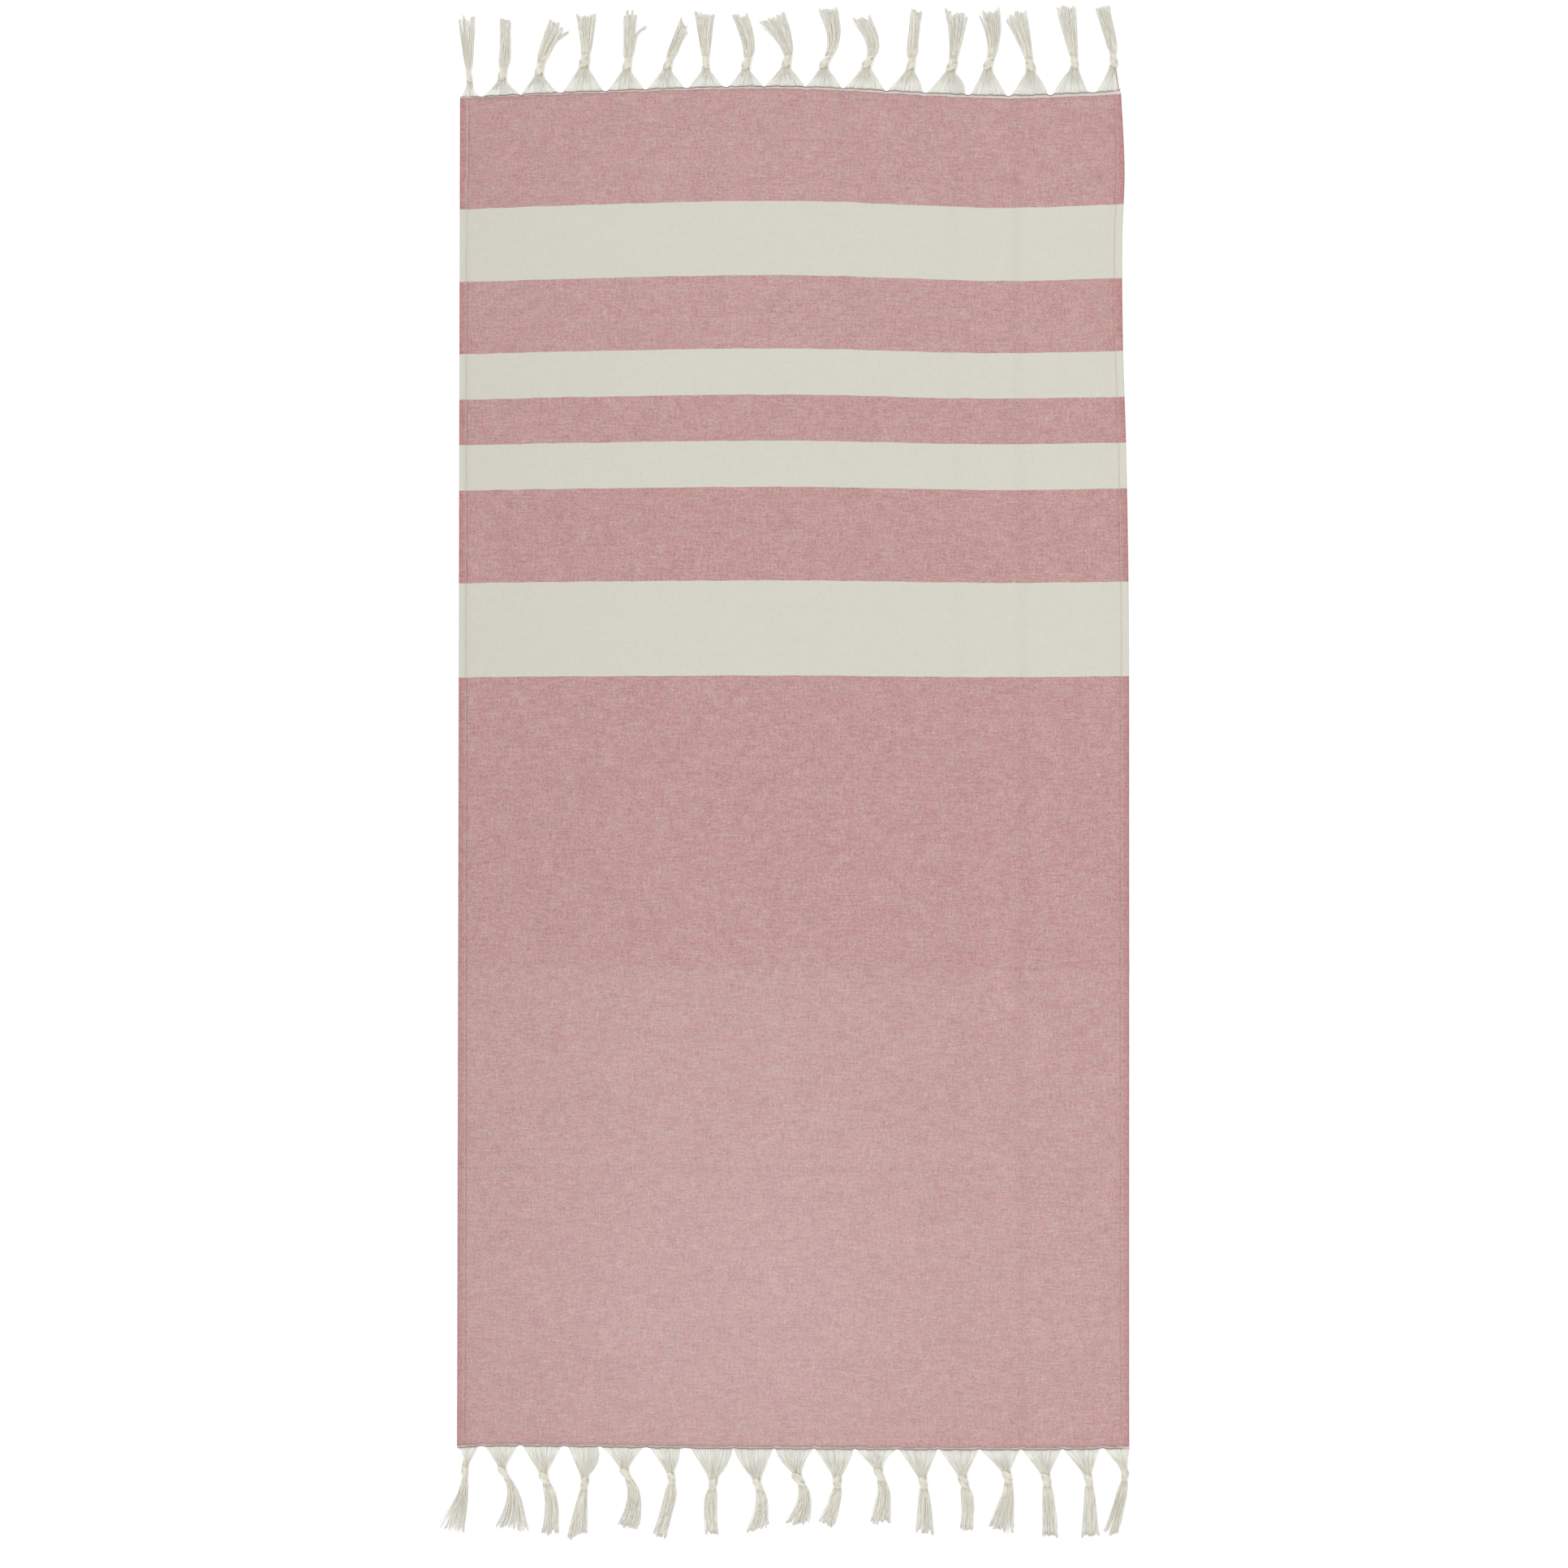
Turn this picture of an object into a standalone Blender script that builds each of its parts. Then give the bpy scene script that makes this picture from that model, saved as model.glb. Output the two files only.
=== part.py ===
"""Hammam towel: a flat-woven cotton towel lying flat, with a knotted fringe at each end.

The origin is at the middle of the cloth's underside. +Y runs along the cloth to its striped
end and +Z is up. The tables are in millimetres, and MM turns them into metres.
"""

from collections import namedtuple
from math import pi, sin

import bmesh
import bpy

MM = 0.001                  # metres in a millimetre
TOWEL = "hammam_towel"      # the collection that holds the parts

# Cloth: one woven layer, with both sides turned over and stitched down as hems.
HALF_WIDE = 446.0           # middle of the cloth to its side, before the sides' own curve
HALF_LONG = 903.0           # middle of the cloth to its end, before the ends' own curve
SHEET_THICK = 1.2
HEM_THICK = 2.2
HEM_LINE = 436.5            # where each hem's inner edge lies, from the middle of the cloth
HEM_STEP = 1.0              # width of the step from the hem down to the single layer
COLUMN_STEP = 41.0          # spacing of the mesh across the cloth
ROW_STEP = 100.0            # spacing of the mesh along the cloth

# Outline of the cloth. The sides give x at each y, and the ends give y at each x.
LEFT_SIDE = ((-903, -448), (0, -446), (480, -445), (903, -444))
RIGHT_SIDE = ((-903, 446), (100, 446), (270, 445), (435, 442), (560, 438), (700, 437), (800, 440),
              (903, 435))
END_FADE = 3                # power with which an end's curve fades along the cloth
TOP_END = ((-445, 894), (-280, 902), (-10, 909), (270, 897), (440, 903))
BOTTOM_END = ((-448, -902), (-380, -900), (-150, -903), (150, -905), (350, -905), (446, -903))

# Creases left by folding, as low ridges: the line's place and how far it lifts off the surface.
Crease = namedtuple("Crease", "place lift")
CREASE_HALF_WIDE = 12.0
LENGTHWISE_CREASES = (Crease(304, 0.8),)
CROSSWISE_CREASES = (Crease(-785, 0.4), Crease(-531, 0.5), Crease(-265, 0.9), Crease(789, 0.4))

# Fringe: a narrow strip along the cloth's end that carries all the tassels of that end.
FIT_GAP = 0.3               # between the cloth and the strip
STRIP_INSIDE = 0.7          # how far the strip reaches inside the end line
STRIP_OUTSIDE = 1.8         # how far it reaches outside the end line
STRIP_THICK = 1.4
KNOT_LONG = 15.0
SWAY_EARLY = 0.75           # power that moves a tail's bend from its middle towards the knot

# Each tassel is a fan of warp threads, a knot and a loose tail. left and right are the fan's
# corners on the cloth, out is a distance from the cloth's end, sway is how far the tail bends
# to the right of a straight line, and slant is how much further its right tip reaches.
Tassel = namedtuple("Tassel", "left right knot_x knot_out knot_wide sway "
                              "tip_x tip_out tip_wide slant")
TOP_TASSELS = (
    Tassel(-442, -417, -432, 26, 8, 0, -435, 106, 23, 0),
    Tassel(-413, -364, -388, 27, 11, 2, -384, 101, 14, 0),
    Tassel(-363, -314, -339, 31, 11, -2, -314, 94, 23, -12),
    Tassel(-307, -253, -279, 39, 15, 2, -276, 102, 27, 0),
    Tassel(-248, -199, -222, 33, 11, 1, -216, 104, 22, 0),
    Tassel(-195, -146, -168, 32, 11, 0, -146, 88, 11, -14),
    Tassel(-140, -94, -117, 31, 9, 0, -119, 100, 28, 0),
    Tassel(-87, -40, -64, 29, 12, 7, -72, 96, 22, 0),
    Tassel(-39, 15, -10, 32, 12, 8, -30, 92, 32, 12),
    Tassel(16, 64, 40, 32, 12, 10, 46, 104, 26, 0),
    Tassel(67, 121, 97, 35, 13, 11, 90, 97, 24, 3),
    Tassel(125, 172, 156, 36, 11, 0, 163, 109, 14, 0),
    Tassel(177, 228, 210, 37, 15, 2, 216, 109, 32, -8),
    Tassel(235, 283, 258, 41, 13, 7, 260, 112, 28, 8),
    Tassel(289, 338, 315, 38, 14, 1, 296, 111, 28, 11),
    Tassel(345, 392, 374, 39, 10, 0, 363, 117, 27, 0),
    Tassel(403, 434, 426, 39, 12, 2, 411, 114, 21, 0),
)
BOTTOM_TASSELS = (
    Tassel(-447, -420, -438, 32, 10, 4, -455, 113, 33, 7),
    Tassel(-411, -367, -388, 34, 11, 10, -375, 112, 46, 6),
    Tassel(-361, -309, -333, 41, 12, 6, -324, 117, 24, 0),
    Tassel(-301, -260, -278, 47, 11, 0, -289, 120, 28, -5),
    Tassel(-256, -201, -225, 34, 12, 11, -221, 108, 28, 5),
    Tassel(-191, -151, -163, 39, 10, 4, -179, 118, 17, 3),
    Tassel(-138, -81, -107, 46, 11, -3, -109, 115, 19, 3),
    Tassel(-80, -27, -49, 46, 11, 6, -49, 108, 28, -10),
    Tassel(-25, 26, 5, 39, 15, 9, 5, 100, 33, 0),
    Tassel(28, 80, 58, 42, 12, 3, 44, 101, 22, 6),
    Tassel(82, 136, 113, 32, 12, 6, 115, 98, 27, 0),
    Tassel(140, 191, 172, 43, 11, 1, 174, 111, 25, 0),
    Tassel(194, 246, 225, 41, 14, 4, 230, 107, 18, 0),
    Tassel(248, 301, 284, 35, 13, 5, 273, 108, 32, 10),
    Tassel(303, 356, 336, 39, 13, 1, 341, 116, 23, 0),
    Tassel(359, 407, 392, 40, 11, 1, 394, 116, 24, 0),
    Tassel(413, 447, 441, 34, 11, 2, 422, 115, 21, 4),
)

# Cross-sections of a tassel. In the fan, along runs from 0 at the cloth to 1 at the knot; in the
# knot from -1 to 1 about its middle; in the tail from 0 at the knot to 1 at the tip. wide is a
# share of the knot's width, or in the fan and tail of the way from there to their wide end.
Section = namedtuple("Section", "along wide high")
FAN_SECTIONS = (Section(0.5, 0.46, 2.2),)
KNOT_SECTIONS = (Section(-1.0, 0.78, 5.5), Section(-0.5, 1.0, 8.5), Section(0.5, 0.98, 8.5),
                 Section(1.0, 0.74, 5.5))
TAIL_SECTIONS = (Section(0.16, 0.1, 5.0), Section(0.42, 0.35, 4.6), Section(0.7, 0.66, 3.6),
                 Section(1.0, 1.0, 2.2))

# One cross-section's outline as (share of its width, share of its height): a flat underside and
# a rounded top, each from left to right.
UNDERSIDE = ((-0.42, 0.0), (-0.15, 0.0), (0.15, 0.0), (0.42, 0.0))
TOPSIDE = ((-0.5, 0.45), (-0.22, 1.0), (0.22, 1.0), (0.5, 0.45))

DUSTY_PINK = (0.546, 0.338, 0.319)
CREAM = (0.686, 0.672, 0.597)


def mix(start, end, share):
    """The value a share of the way from start to end."""
    return start + (end - start) * share


def read(table, place):
    """Read a two-column table at a place, on a smooth curve through its rows."""
    last = len(table) - 1
    row = 0
    while row < last - 1 and place > table[row + 1][0]:
        row += 1
    (start, low), (end, high) = table[row], table[row + 1]

    def slope(index):
        before, after = table[max(index - 1, 0)], table[min(index + 1, last)]
        return (after[1] - before[1]) / (after[0] - before[0])

    span = end - start
    t = min(max((place - start) / span, 0.0), 1.0)
    bend = t * (1 - t) * ((1 - t) * (slope(row) * span - (high - low))
                          - t * (slope(row + 1) * span - (high - low)))
    return mix(low, high, t) + bend


def fabric(name, colour):
    """A plain woven-cotton material."""
    material = bpy.data.materials.new(name)
    material.use_nodes = True
    shader = material.node_tree.nodes["Principled BSDF"]
    shader.inputs["Base Color"].default_value = (*colour, 1.0)
    shader.inputs["Roughness"].default_value = 0.9
    shader.inputs["Metallic"].default_value = 0.0
    return material


def new_part(name, bm, material, smooth):
    """Turn the mesh into a part of the towel, in metres and with its faces outwards."""
    bmesh.ops.scale(bm, vec=(MM, MM, MM), verts=bm.verts)
    bmesh.ops.recalc_face_normals(bm, faces=bm.faces)
    mesh = bpy.data.meshes.new(name)
    bm.to_mesh(mesh)
    bm.free()
    mesh.materials.append(material)
    if smooth:
        mesh.shade_smooth()
        mesh.set_sharp_from_angle(angle=pi / 4)
    part = bpy.data.objects.new(name, mesh)
    bpy.data.collections[TOWEL].objects.link(part)


def grid_slab(columns, rows, underside, topside):
    """A closed slab on a grid: underside and topside give a point for each column and row."""
    def in_grid_order(items):
        verts = [item for item in items if isinstance(item, bmesh.types.BMVert)]
        return sorted(verts, key=lambda v: (round(v.co.y, 6), round(v.co.x, 6)))

    bm = bmesh.new()
    bmesh.ops.create_grid(bm, x_segments=len(columns) - 1, y_segments=len(rows) - 1, size=1.0)
    lower = in_grid_order(bm.verts)
    upper = in_grid_order(bmesh.ops.extrude_face_region(bm, geom=bm.faces[:])["geom"])
    places = [(column, row) for row in rows for column in columns]
    for place, low, high in zip(places, lower, upper):
        low.co = underside(*place)
        high.co = topside(*place)
    return bm


def mesh_lines(half, step, hem_lines, creases):
    """Grid lines between two edges: evenly spaced, plus the hems' lines and each crease's three."""
    count = round(2 * half / step)
    fixed = [-half, half, *hem_lines]
    for crease in creases:
        fixed += [crease.place - CREASE_HALF_WIDE, crease.place, crease.place + CREASE_HALF_WIDE]
    even = [mix(-half, half, (index + 0.5) / count) for index in range(count)]
    clear = [line for line in even if min(abs(line - other) for other in fixed) > step / 4]
    return sorted(fixed + clear)


def cloth_point(column, row):
    """Where a warp column meets a weft row: the ends' curve fades towards the other end."""
    left, right = read(LEFT_SIDE, row), read(RIGHT_SIDE, row)
    x = mix(left, right, (column + HALF_WIDE) / (2 * HALF_WIDE))
    t = (row + HALF_LONG) / (2 * HALF_LONG)
    top = read(TOP_END, x) - STRIP_INSIDE - FIT_GAP - HALF_LONG
    bottom = read(BOTTOM_END, x) + STRIP_INSIDE + FIT_GAP + HALF_LONG
    return x, row + top * t ** END_FADE + bottom * (1 - t) ** END_FADE


def crease_lift(column, row):
    """How far the cloth stands off the surface on its creases."""
    lifts = [crease.lift * max(0.0, 1 - abs(column - crease.place) / CREASE_HALF_WIDE)
             for crease in LENGTHWISE_CREASES]
    lifts += [crease.lift * max(0.0, 1 - abs(row - crease.place) / CREASE_HALF_WIDE)
              for crease in CROSSWISE_CREASES]
    return max(lifts)


def cloth_underside(column, row):
    return *cloth_point(column, row), crease_lift(column, row)


def cloth_topside(column, row):
    thick = HEM_THICK if abs(column) >= HEM_LINE else SHEET_THICK
    return *cloth_point(column, row), crease_lift(column, row) + thick


def make_cloth():
    """The woven cloth with its two hems, as one sheet."""
    hem_foot = HEM_LINE - HEM_STEP
    hem_lines = (-HEM_LINE, -hem_foot, hem_foot, HEM_LINE)
    columns = mesh_lines(HALF_WIDE, COLUMN_STEP, hem_lines, LENGTHWISE_CREASES)
    rows = mesh_lines(HALF_LONG, ROW_STEP, (), CROSSWISE_CREASES)
    bm = grid_slab(columns, rows, cloth_underside, cloth_topside)
    new_part("towel_cloth", bm, fabric("dusty_pink_cotton", DUSTY_PINK), smooth=False)


def tassel_sections(tassel):
    """The tassel's cross-sections from fan to tip, as (middle x, out, width, height, slant)."""
    fan_x, fan_wide = (tassel.left + tassel.right) / 2, tassel.right - tassel.left
    knot_start, knot_end = tassel.knot_out - KNOT_LONG / 2, tassel.knot_out + KNOT_LONG / 2
    first_neck = KNOT_SECTIONS[0].wide * tassel.knot_wide
    last_neck = KNOT_SECTIONS[-1].wide * tassel.knot_wide
    for along, wide, high in FAN_SECTIONS:
        yield (mix(fan_x, tassel.knot_x, along), knot_start * along,
               mix(first_neck, fan_wide, wide), high, 0.0)
    for along, wide, high in KNOT_SECTIONS:
        yield (tassel.knot_x, tassel.knot_out + along * KNOT_LONG / 2,
               wide * tassel.knot_wide, high, 0.0)
    for along, wide, high in TAIL_SECTIONS:
        sway = tassel.sway * sin(pi * along ** SWAY_EARLY)
        yield (mix(tassel.knot_x, tassel.tip_x, along) + sway, mix(knot_end, tassel.tip_out, along),
               mix(last_neck, tassel.tip_wide, wide), high, tassel.slant * along ** 2)


def tassel_root(bm, tassel, end_line, outward):
    """The strip's outer faces between the tassel's corners."""
    def is_outer(face):
        middle = face.calc_center_median()
        return (tassel.left < middle.x < tassel.right and abs(face.normal.z) < 0.5
                and outward * (middle.y - end_line(middle.x)) > 0)

    return [face for face in bm.faces if is_outer(face)]


def grow_tassel(bm, tassel, faces, end_line, outward):
    """Extrude the faces at a tassel's root into its fan, knot and tail."""
    for x, out, wide, high, slant in tassel_sections(tassel):
        grown = bmesh.ops.extrude_face_region(bm, geom=faces)["geom"]
        bmesh.ops.delete(bm, geom=faces, context="FACES")
        faces = [item for item in grown if isinstance(item, bmesh.types.BMFace)]
        verts = sorted((item for item in grown if isinstance(item, bmesh.types.BMVert)),
                       key=lambda v: v.co.x)
        lower = [vert for vert in verts if vert.co.z == 0.0]
        upper = [vert for vert in verts if vert.co.z > 0.0]
        for ring, outline in ((lower, UNDERSIDE), (upper, TOPSIDE)):
            for vert, (across, up) in zip(ring, outline):
                y = end_line(x) + outward * (out + across * slant)
                vert.co = (x + across * wide, y, up * high)


def make_fringe(name, tassels, end_table, outward):
    """One comb along the cloth's end: the strip and every tassel on it, as one body."""
    def end_line(x):
        return read(end_table, x)

    def strip_point(x, reach):
        return x, end_line(x) + outward * reach

    columns = [mix(tassel.left, tassel.right, third / 3) for tassel in tassels for third in range(4)]
    reaches = sorted((-STRIP_INSIDE, STRIP_OUTSIDE), key=lambda reach: outward * reach)
    bm = grid_slab(columns, reaches,
                   lambda x, reach: (*strip_point(x, reach), 0.0),
                   lambda x, reach: (*strip_point(x, reach), STRIP_THICK))
    bmesh.ops.recalc_face_normals(bm, faces=bm.faces)
    roots = [tassel_root(bm, tassel, end_line, outward) for tassel in tassels]
    for tassel, faces in zip(tassels, roots):
        grow_tassel(bm, tassel, faces, end_line, outward)
    new_part(name, bm, fabric(name + "_cotton", CREAM), smooth=True)


def main():
    for leftover in list(bpy.data.objects):
        bpy.data.objects.remove(leftover)
    collection = bpy.data.collections.new(TOWEL)
    bpy.context.scene.collection.children.link(collection)
    make_cloth()
    make_fringe("fringe_top", TOP_TASSELS, TOP_END, 1)
    make_fringe("fringe_bottom", BOTTOM_TASSELS, BOTTOM_END, -1)


main()
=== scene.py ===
"""Hammam towel lying flat: the woven cloth with its stitched hems, and its knotted fringes.

Laid out as a Blender add-on and run as a script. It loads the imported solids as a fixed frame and
builds the finished towel round them: cloth, hem stitches, end threads and fringe yarns. The shape
tables are in millimetres, as the maker's are, and MM turns them into metres.
"""

import random
from collections import namedtuple
from math import cos, log2, pi, radians, sin

import bpy
import numpy as np
from bpy.props import FloatProperty, FloatVectorProperty, PointerProperty
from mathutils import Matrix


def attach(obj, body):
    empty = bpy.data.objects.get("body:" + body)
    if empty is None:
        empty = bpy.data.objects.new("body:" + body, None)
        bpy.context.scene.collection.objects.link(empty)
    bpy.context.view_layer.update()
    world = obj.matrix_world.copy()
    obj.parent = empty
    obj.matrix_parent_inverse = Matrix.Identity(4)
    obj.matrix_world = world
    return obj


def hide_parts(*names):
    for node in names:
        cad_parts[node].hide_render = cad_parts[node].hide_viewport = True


bl_info = {
    "name": "Hammam towel",
    "version": (1, 0, 0),
    "blender": (4, 5, 0),
    "location": "View3D > Sidebar > Towel",
    "description": "Builds a flat-woven towel with knotted fringes",
    "category": "Object",
}

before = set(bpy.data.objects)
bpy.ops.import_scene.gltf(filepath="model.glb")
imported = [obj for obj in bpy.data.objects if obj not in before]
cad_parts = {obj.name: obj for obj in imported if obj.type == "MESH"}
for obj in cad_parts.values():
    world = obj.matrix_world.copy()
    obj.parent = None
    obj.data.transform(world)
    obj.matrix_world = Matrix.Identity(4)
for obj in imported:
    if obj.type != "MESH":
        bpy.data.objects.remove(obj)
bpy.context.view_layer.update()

MM = 0.001                  # metres in a millimetre
BODY = "root"

# Cloth: one woven layer with a turned and stitched hem down each side.
CLOTH_THICK = 1.1           # thickness of one layer; its middle lies half of that off the surface
HALF_WIDE = 446.0           # middle of the cloth to its side, before the sides' own curve
HALF_LONG = 903.0           # middle of the cloth to its end, before the ends' own curve
LEFT_SIDE = ((-903, -448), (0, -446), (480, -445), (903, -444))
RIGHT_SIDE = ((-903, 446), (100, 446), (270, 445), (435, 442), (560, 438), (700, 437), (800, 440),
              (903, 435))
END_FADE = 3                # power with which an end's curve fades along the cloth
TOP_END = ((-445, 894), (-280, 902), (-10, 909), (270, 897), (440, 903))
BOTTOM_END = ((-448, -902), (-380, -900), (-150, -903), (150, -905), (350, -905), (446, -903))
CLOTH_SHORT = 0.2           # how far the cloth stops inside the line its end thread follows
NOTCH_DEEP = 1.3            # how far the cloth's end is pulled in between two tassels
NOTCH_REACH = 6.0
NOTCH_FADE = 14.0           # how far into the cloth the pull is felt

# Path of the cloth's middle layer through a hem, as (distance in from the side, height): along
# the surface, up over the turned-under layer, round the fold and back underneath.
STITCH_INSET = 9.0          # where the stitches cross that path, before their own wander
HEM_SHIFT_FADE = 12         # how gently the hem's own wander fades into the cloth
HEM_PATH = (
    (26, 0.55), (21, 0.55), (17, 0.55), (14.5, 0.56), (12.8, 0.62), (11.8, 0.84), (11.0, 1.16),
    (10.3, 1.46), (9.6, 1.6), (9.0, 1.58), (8.4, 1.64), (7.2, 1.76), (5.2, 1.82), (3.2, 1.82),
    (1.9, 1.79), (0.93, 1.73), (0.73, 1.6), (0.6, 1.4), (0.55, 1.17), (0.6, 0.94), (0.73, 0.74),
    (0.93, 0.61), (1.9, 0.56), (4.5, 0.55), (7.0, 0.55), (9.4, 0.55),
)
# How far in from the side each hem is stitched, along the cloth.
LEFT_STITCH = ((-903, 7.4), (-850, 9.0), (-700, 9.4), (600, 8.8), (770, 8.8), (830, 10.2),
               (903, 10.8))
RIGHT_STITCH = ((-903, 6.9), (-830, 9.2), (-700, 10.2), (500, 10.0), (740, 10.5), (820, 9.6),
                (903, 6.8))

# Creases left by folding: where each line runs, its height, and the reach of its soft shoulders.
Crease = namedtuple("Crease", "place lift reach")
LENGTHWISE_CREASES = (Crease(304, 0.7, 13), Crease(218, 0.25, 16))
CROSSWISE_CREASES = (Crease(-785, 0.35, 10), Crease(-531, 0.5, 12), Crease(-265, 0.9, 12),
                     Crease(2, 0.2, 14), Crease(269, 0.2, 14), Crease(536, 0.25, 14),
                     Crease(789, 0.35, 10))
# Ripples that are too low to see from above but keep the cloth from being a board: length across,
# length along, shift and height.
Ripple = namedtuple("Ripple", "across along shift lift")
RIPPLES = (Ripple(310, 1900, 0.4, 0.16), Ripple(-1400, 236, 1.9, 0.16), Ripple(173, 410, 3.1, 0.1),
           Ripple(-97, 260, 5.2, 0.06))
# The small buckle beside the left hem near the plain end, as (row, its middle's column).
BUCKLE = ((-872, -432), (-830, -426), (-780, -423), (-735, -427), (-705, -432))
BUCKLE_LIFT = 1.0
BUCKLE_REACH = 5.0

# Pattern of the cloth. Stripes and fading are placed by weft row, shade by warp column.
STRIPES = ((654, 752), (496, 557), (374, 435), (124, 250))
TOP_HEADER = (1.3, 4.2)     # width of the undyed header at the left and right of the striped end
BOTTOM_HEADER = 2.1
STRIPE_WANDER, HEADER_WANDER = 0.0016, 0.0011   # how far their edges stray, in metres
HEADER_BARE = (0.548, 0.53, 0.478)  # colour of the top header where no pink shows through
# How far the pink is mixed towards a paler grey along the cloth, and what share of that is felt
# across the cloth.
PALER_ALONG = ((-903, 0.085), (-850, 0.105), (-720, 0.125), (-600, 0.115), (-450, 0.09),
              (-267, 0.07), (-263, 0.02), (-150, 0.008), (60, 0.0), (350, 0.0), (480, 0.015),
              (600, 0.035), (903, 0.03))
PALER_ACROSS = ((-446, 0.5), (-200, 0.75), (0, 0.8), (200, 0.55), (446, 0.35))
PALER_COLOUR = (0.78, 0.76, 0.76)
# Neps, the small knots of fibre: how many to a metre each way, where each starts and is at its
# darkest as shares of their spacing, and how dark.
NEPS_PER_METRE, NEP_REACH, NEP_DARK = 14.0, (0.016, 0.008), 0.35
# Painted light across the cloth: shaded towards the left side, a little brighter towards the
# right.
SHADE_ACROSS = ((-446, 0.955), (-200, 0.99), (0, 1.0), (200, 1.005), (330, 1.018), (446, 1.015))
# Colours of a hem from its raw edge's shadow out to the fold, as shares of the pink or the cream.
# Their places are in metres from the cloth's middle line.
HEM_BANDS = ((0.4338, (1.0, 1.0, 1.0)), (0.4352, (0.92, 0.86, 0.88)), (0.4366, (0.9, 0.84, 0.86)),
             (0.4372, (0.96, 0.98, 0.92)), (0.4398, (0.94, 0.95, 0.87)),
             (0.4412, (0.98, 0.83, 0.84)), (0.4440, (0.99, 0.81, 0.82)),
             (0.4452, (0.8, 0.72, 0.78)), (0.4462, (0.7, 0.66, 0.74)))
CREAM_HEM_BANDS = ((0.4345, 1.0), (0.4360, 0.96), (0.4372, 1.0), (0.4445, 1.02), (0.4462, 0.9))
# Painted shade on the pressed creases, darker than the cloth: (place, how much darker). Their
# reach is in metres.
LENGTHWISE_CREASE_SHADE, LENGTHWISE_REACH = ((304, 0.03), (218, 0.012)), 0.014
CROSSWISE_CREASE_SHADE, CROSSWISE_REACH = ((-265, 0.02), (-531, 0.03), (-785, 0.025), (789, 0.025)), 0.004
# Uneven cotton: size of the blobs across and along in metres, and how much they count.
COTTON_PARTS = ((0.0021, 0.0017, 0.4), (0.0036, 0.0032, 0.13), (0.015, 0.0017, 0.2),
                (0.0017, 0.02, 0.17), (0.05, 0.06, 0.05))

# Threads.
STITCH_SIDES = 6
STITCH_START = 5            # distance of the first stitch from the cloth's end
STITCH_TAPER = 0.35         # share by which a stitch thins towards its ends
STITCH_DIP = 0.42           # how far a stitch's ends sink into the cloth
PALE_STITCHES = 700         # row beyond which the left hem's stitches are clean of dye
END_LAY = 3.4               # length of one turn of the end thread's twist
END_STEPS = 6               # mesh steps in one turn
END_SIDES = 5
END_REACH_TOP, END_REACH_BOTTOM = (-443.5, 435.2), (-447.5, 446.5)
END_LOOSE = 6               # length of the top thread's loose end
END_CURL = 0.07             # how sharply it curls away from the cloth

# Fringe. Each tassel is a fan of warp threads, a knot and a loose tail. left and right are the
# fan's corners on the cloth, the bulges push its edges outwards, out is a distance from the
# cloth's end, sway is how far the tail bends to the right of a straight line, and slant is how
# much further its right tip reaches.
SWAY_EARLY = 0.8            # under 1, a tail bends most in its first half
SWAY_LEAN = 4.3             # how strongly that bend turns the tail where it leaves the knot
LEAN_MOST = 0.75
Tassel = namedtuple("Tassel", "left right bulge_left bulge_right knot_x knot_out knot_wide sway "
                              "tip_x tip_out tip_wide slant")
TOP_TASSELS = [Tassel(*row) for row in (
    (-442, -417, 0, -3, -432, 26, 8, 0, -435, 106, 23, 0),
    (-413, -364, 0, 0, -388, 27, 11, 2, -384, 101, 14, 0),
    (-363, -314, 0, 0, -339, 31, 11, -2, -314, 94, 23, -12),
    (-307, -253, 0, 0, -279, 39, 15, 2, -276, 102, 27, 0),
    (-248, -199, 0, 0, -222, 33, 11, 1, -216, 104, 22, 0),
    (-195, -146, 0, 0, -168, 32, 11, 0, -146, 88, 11, -14),
    (-140, -94, 0, 0, -117, 31, 9, 0, -119, 100, 28, 0),
    (-87, -40, 0, 0, -64, 29, 12, 7, -72, 96, 22, 0),
    (-39, 15, 0, 1, -10, 32, 12, 8, -30, 92, 32, 12),
    (16, 64, 0, 1, 40, 32, 12, 10, 46, 104, 26, 0),
    (67, 121, 0, 0, 97, 35, 13, 11, 90, 97, 24, 3),
    (125, 172, 0, 2, 156, 36, 11, 0, 163, 109, 14, 0),
    (177, 228, 0, 5, 210, 37, 15, 2, 216, 109, 32, -8),
    (235, 283, 0, 0, 258, 41, 13, 7, 260, 112, 28, 8),
    (289, 338, 0, 3, 315, 38, 14, 1, 296, 111, 28, 11),
    (345, 392, 2, 0, 374, 39, 10, 0, 363, 117, 27, 0),
    (403, 434, 0, 0, 426, 39, 12, 2, 411, 114, 21, 0),
)]
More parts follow.
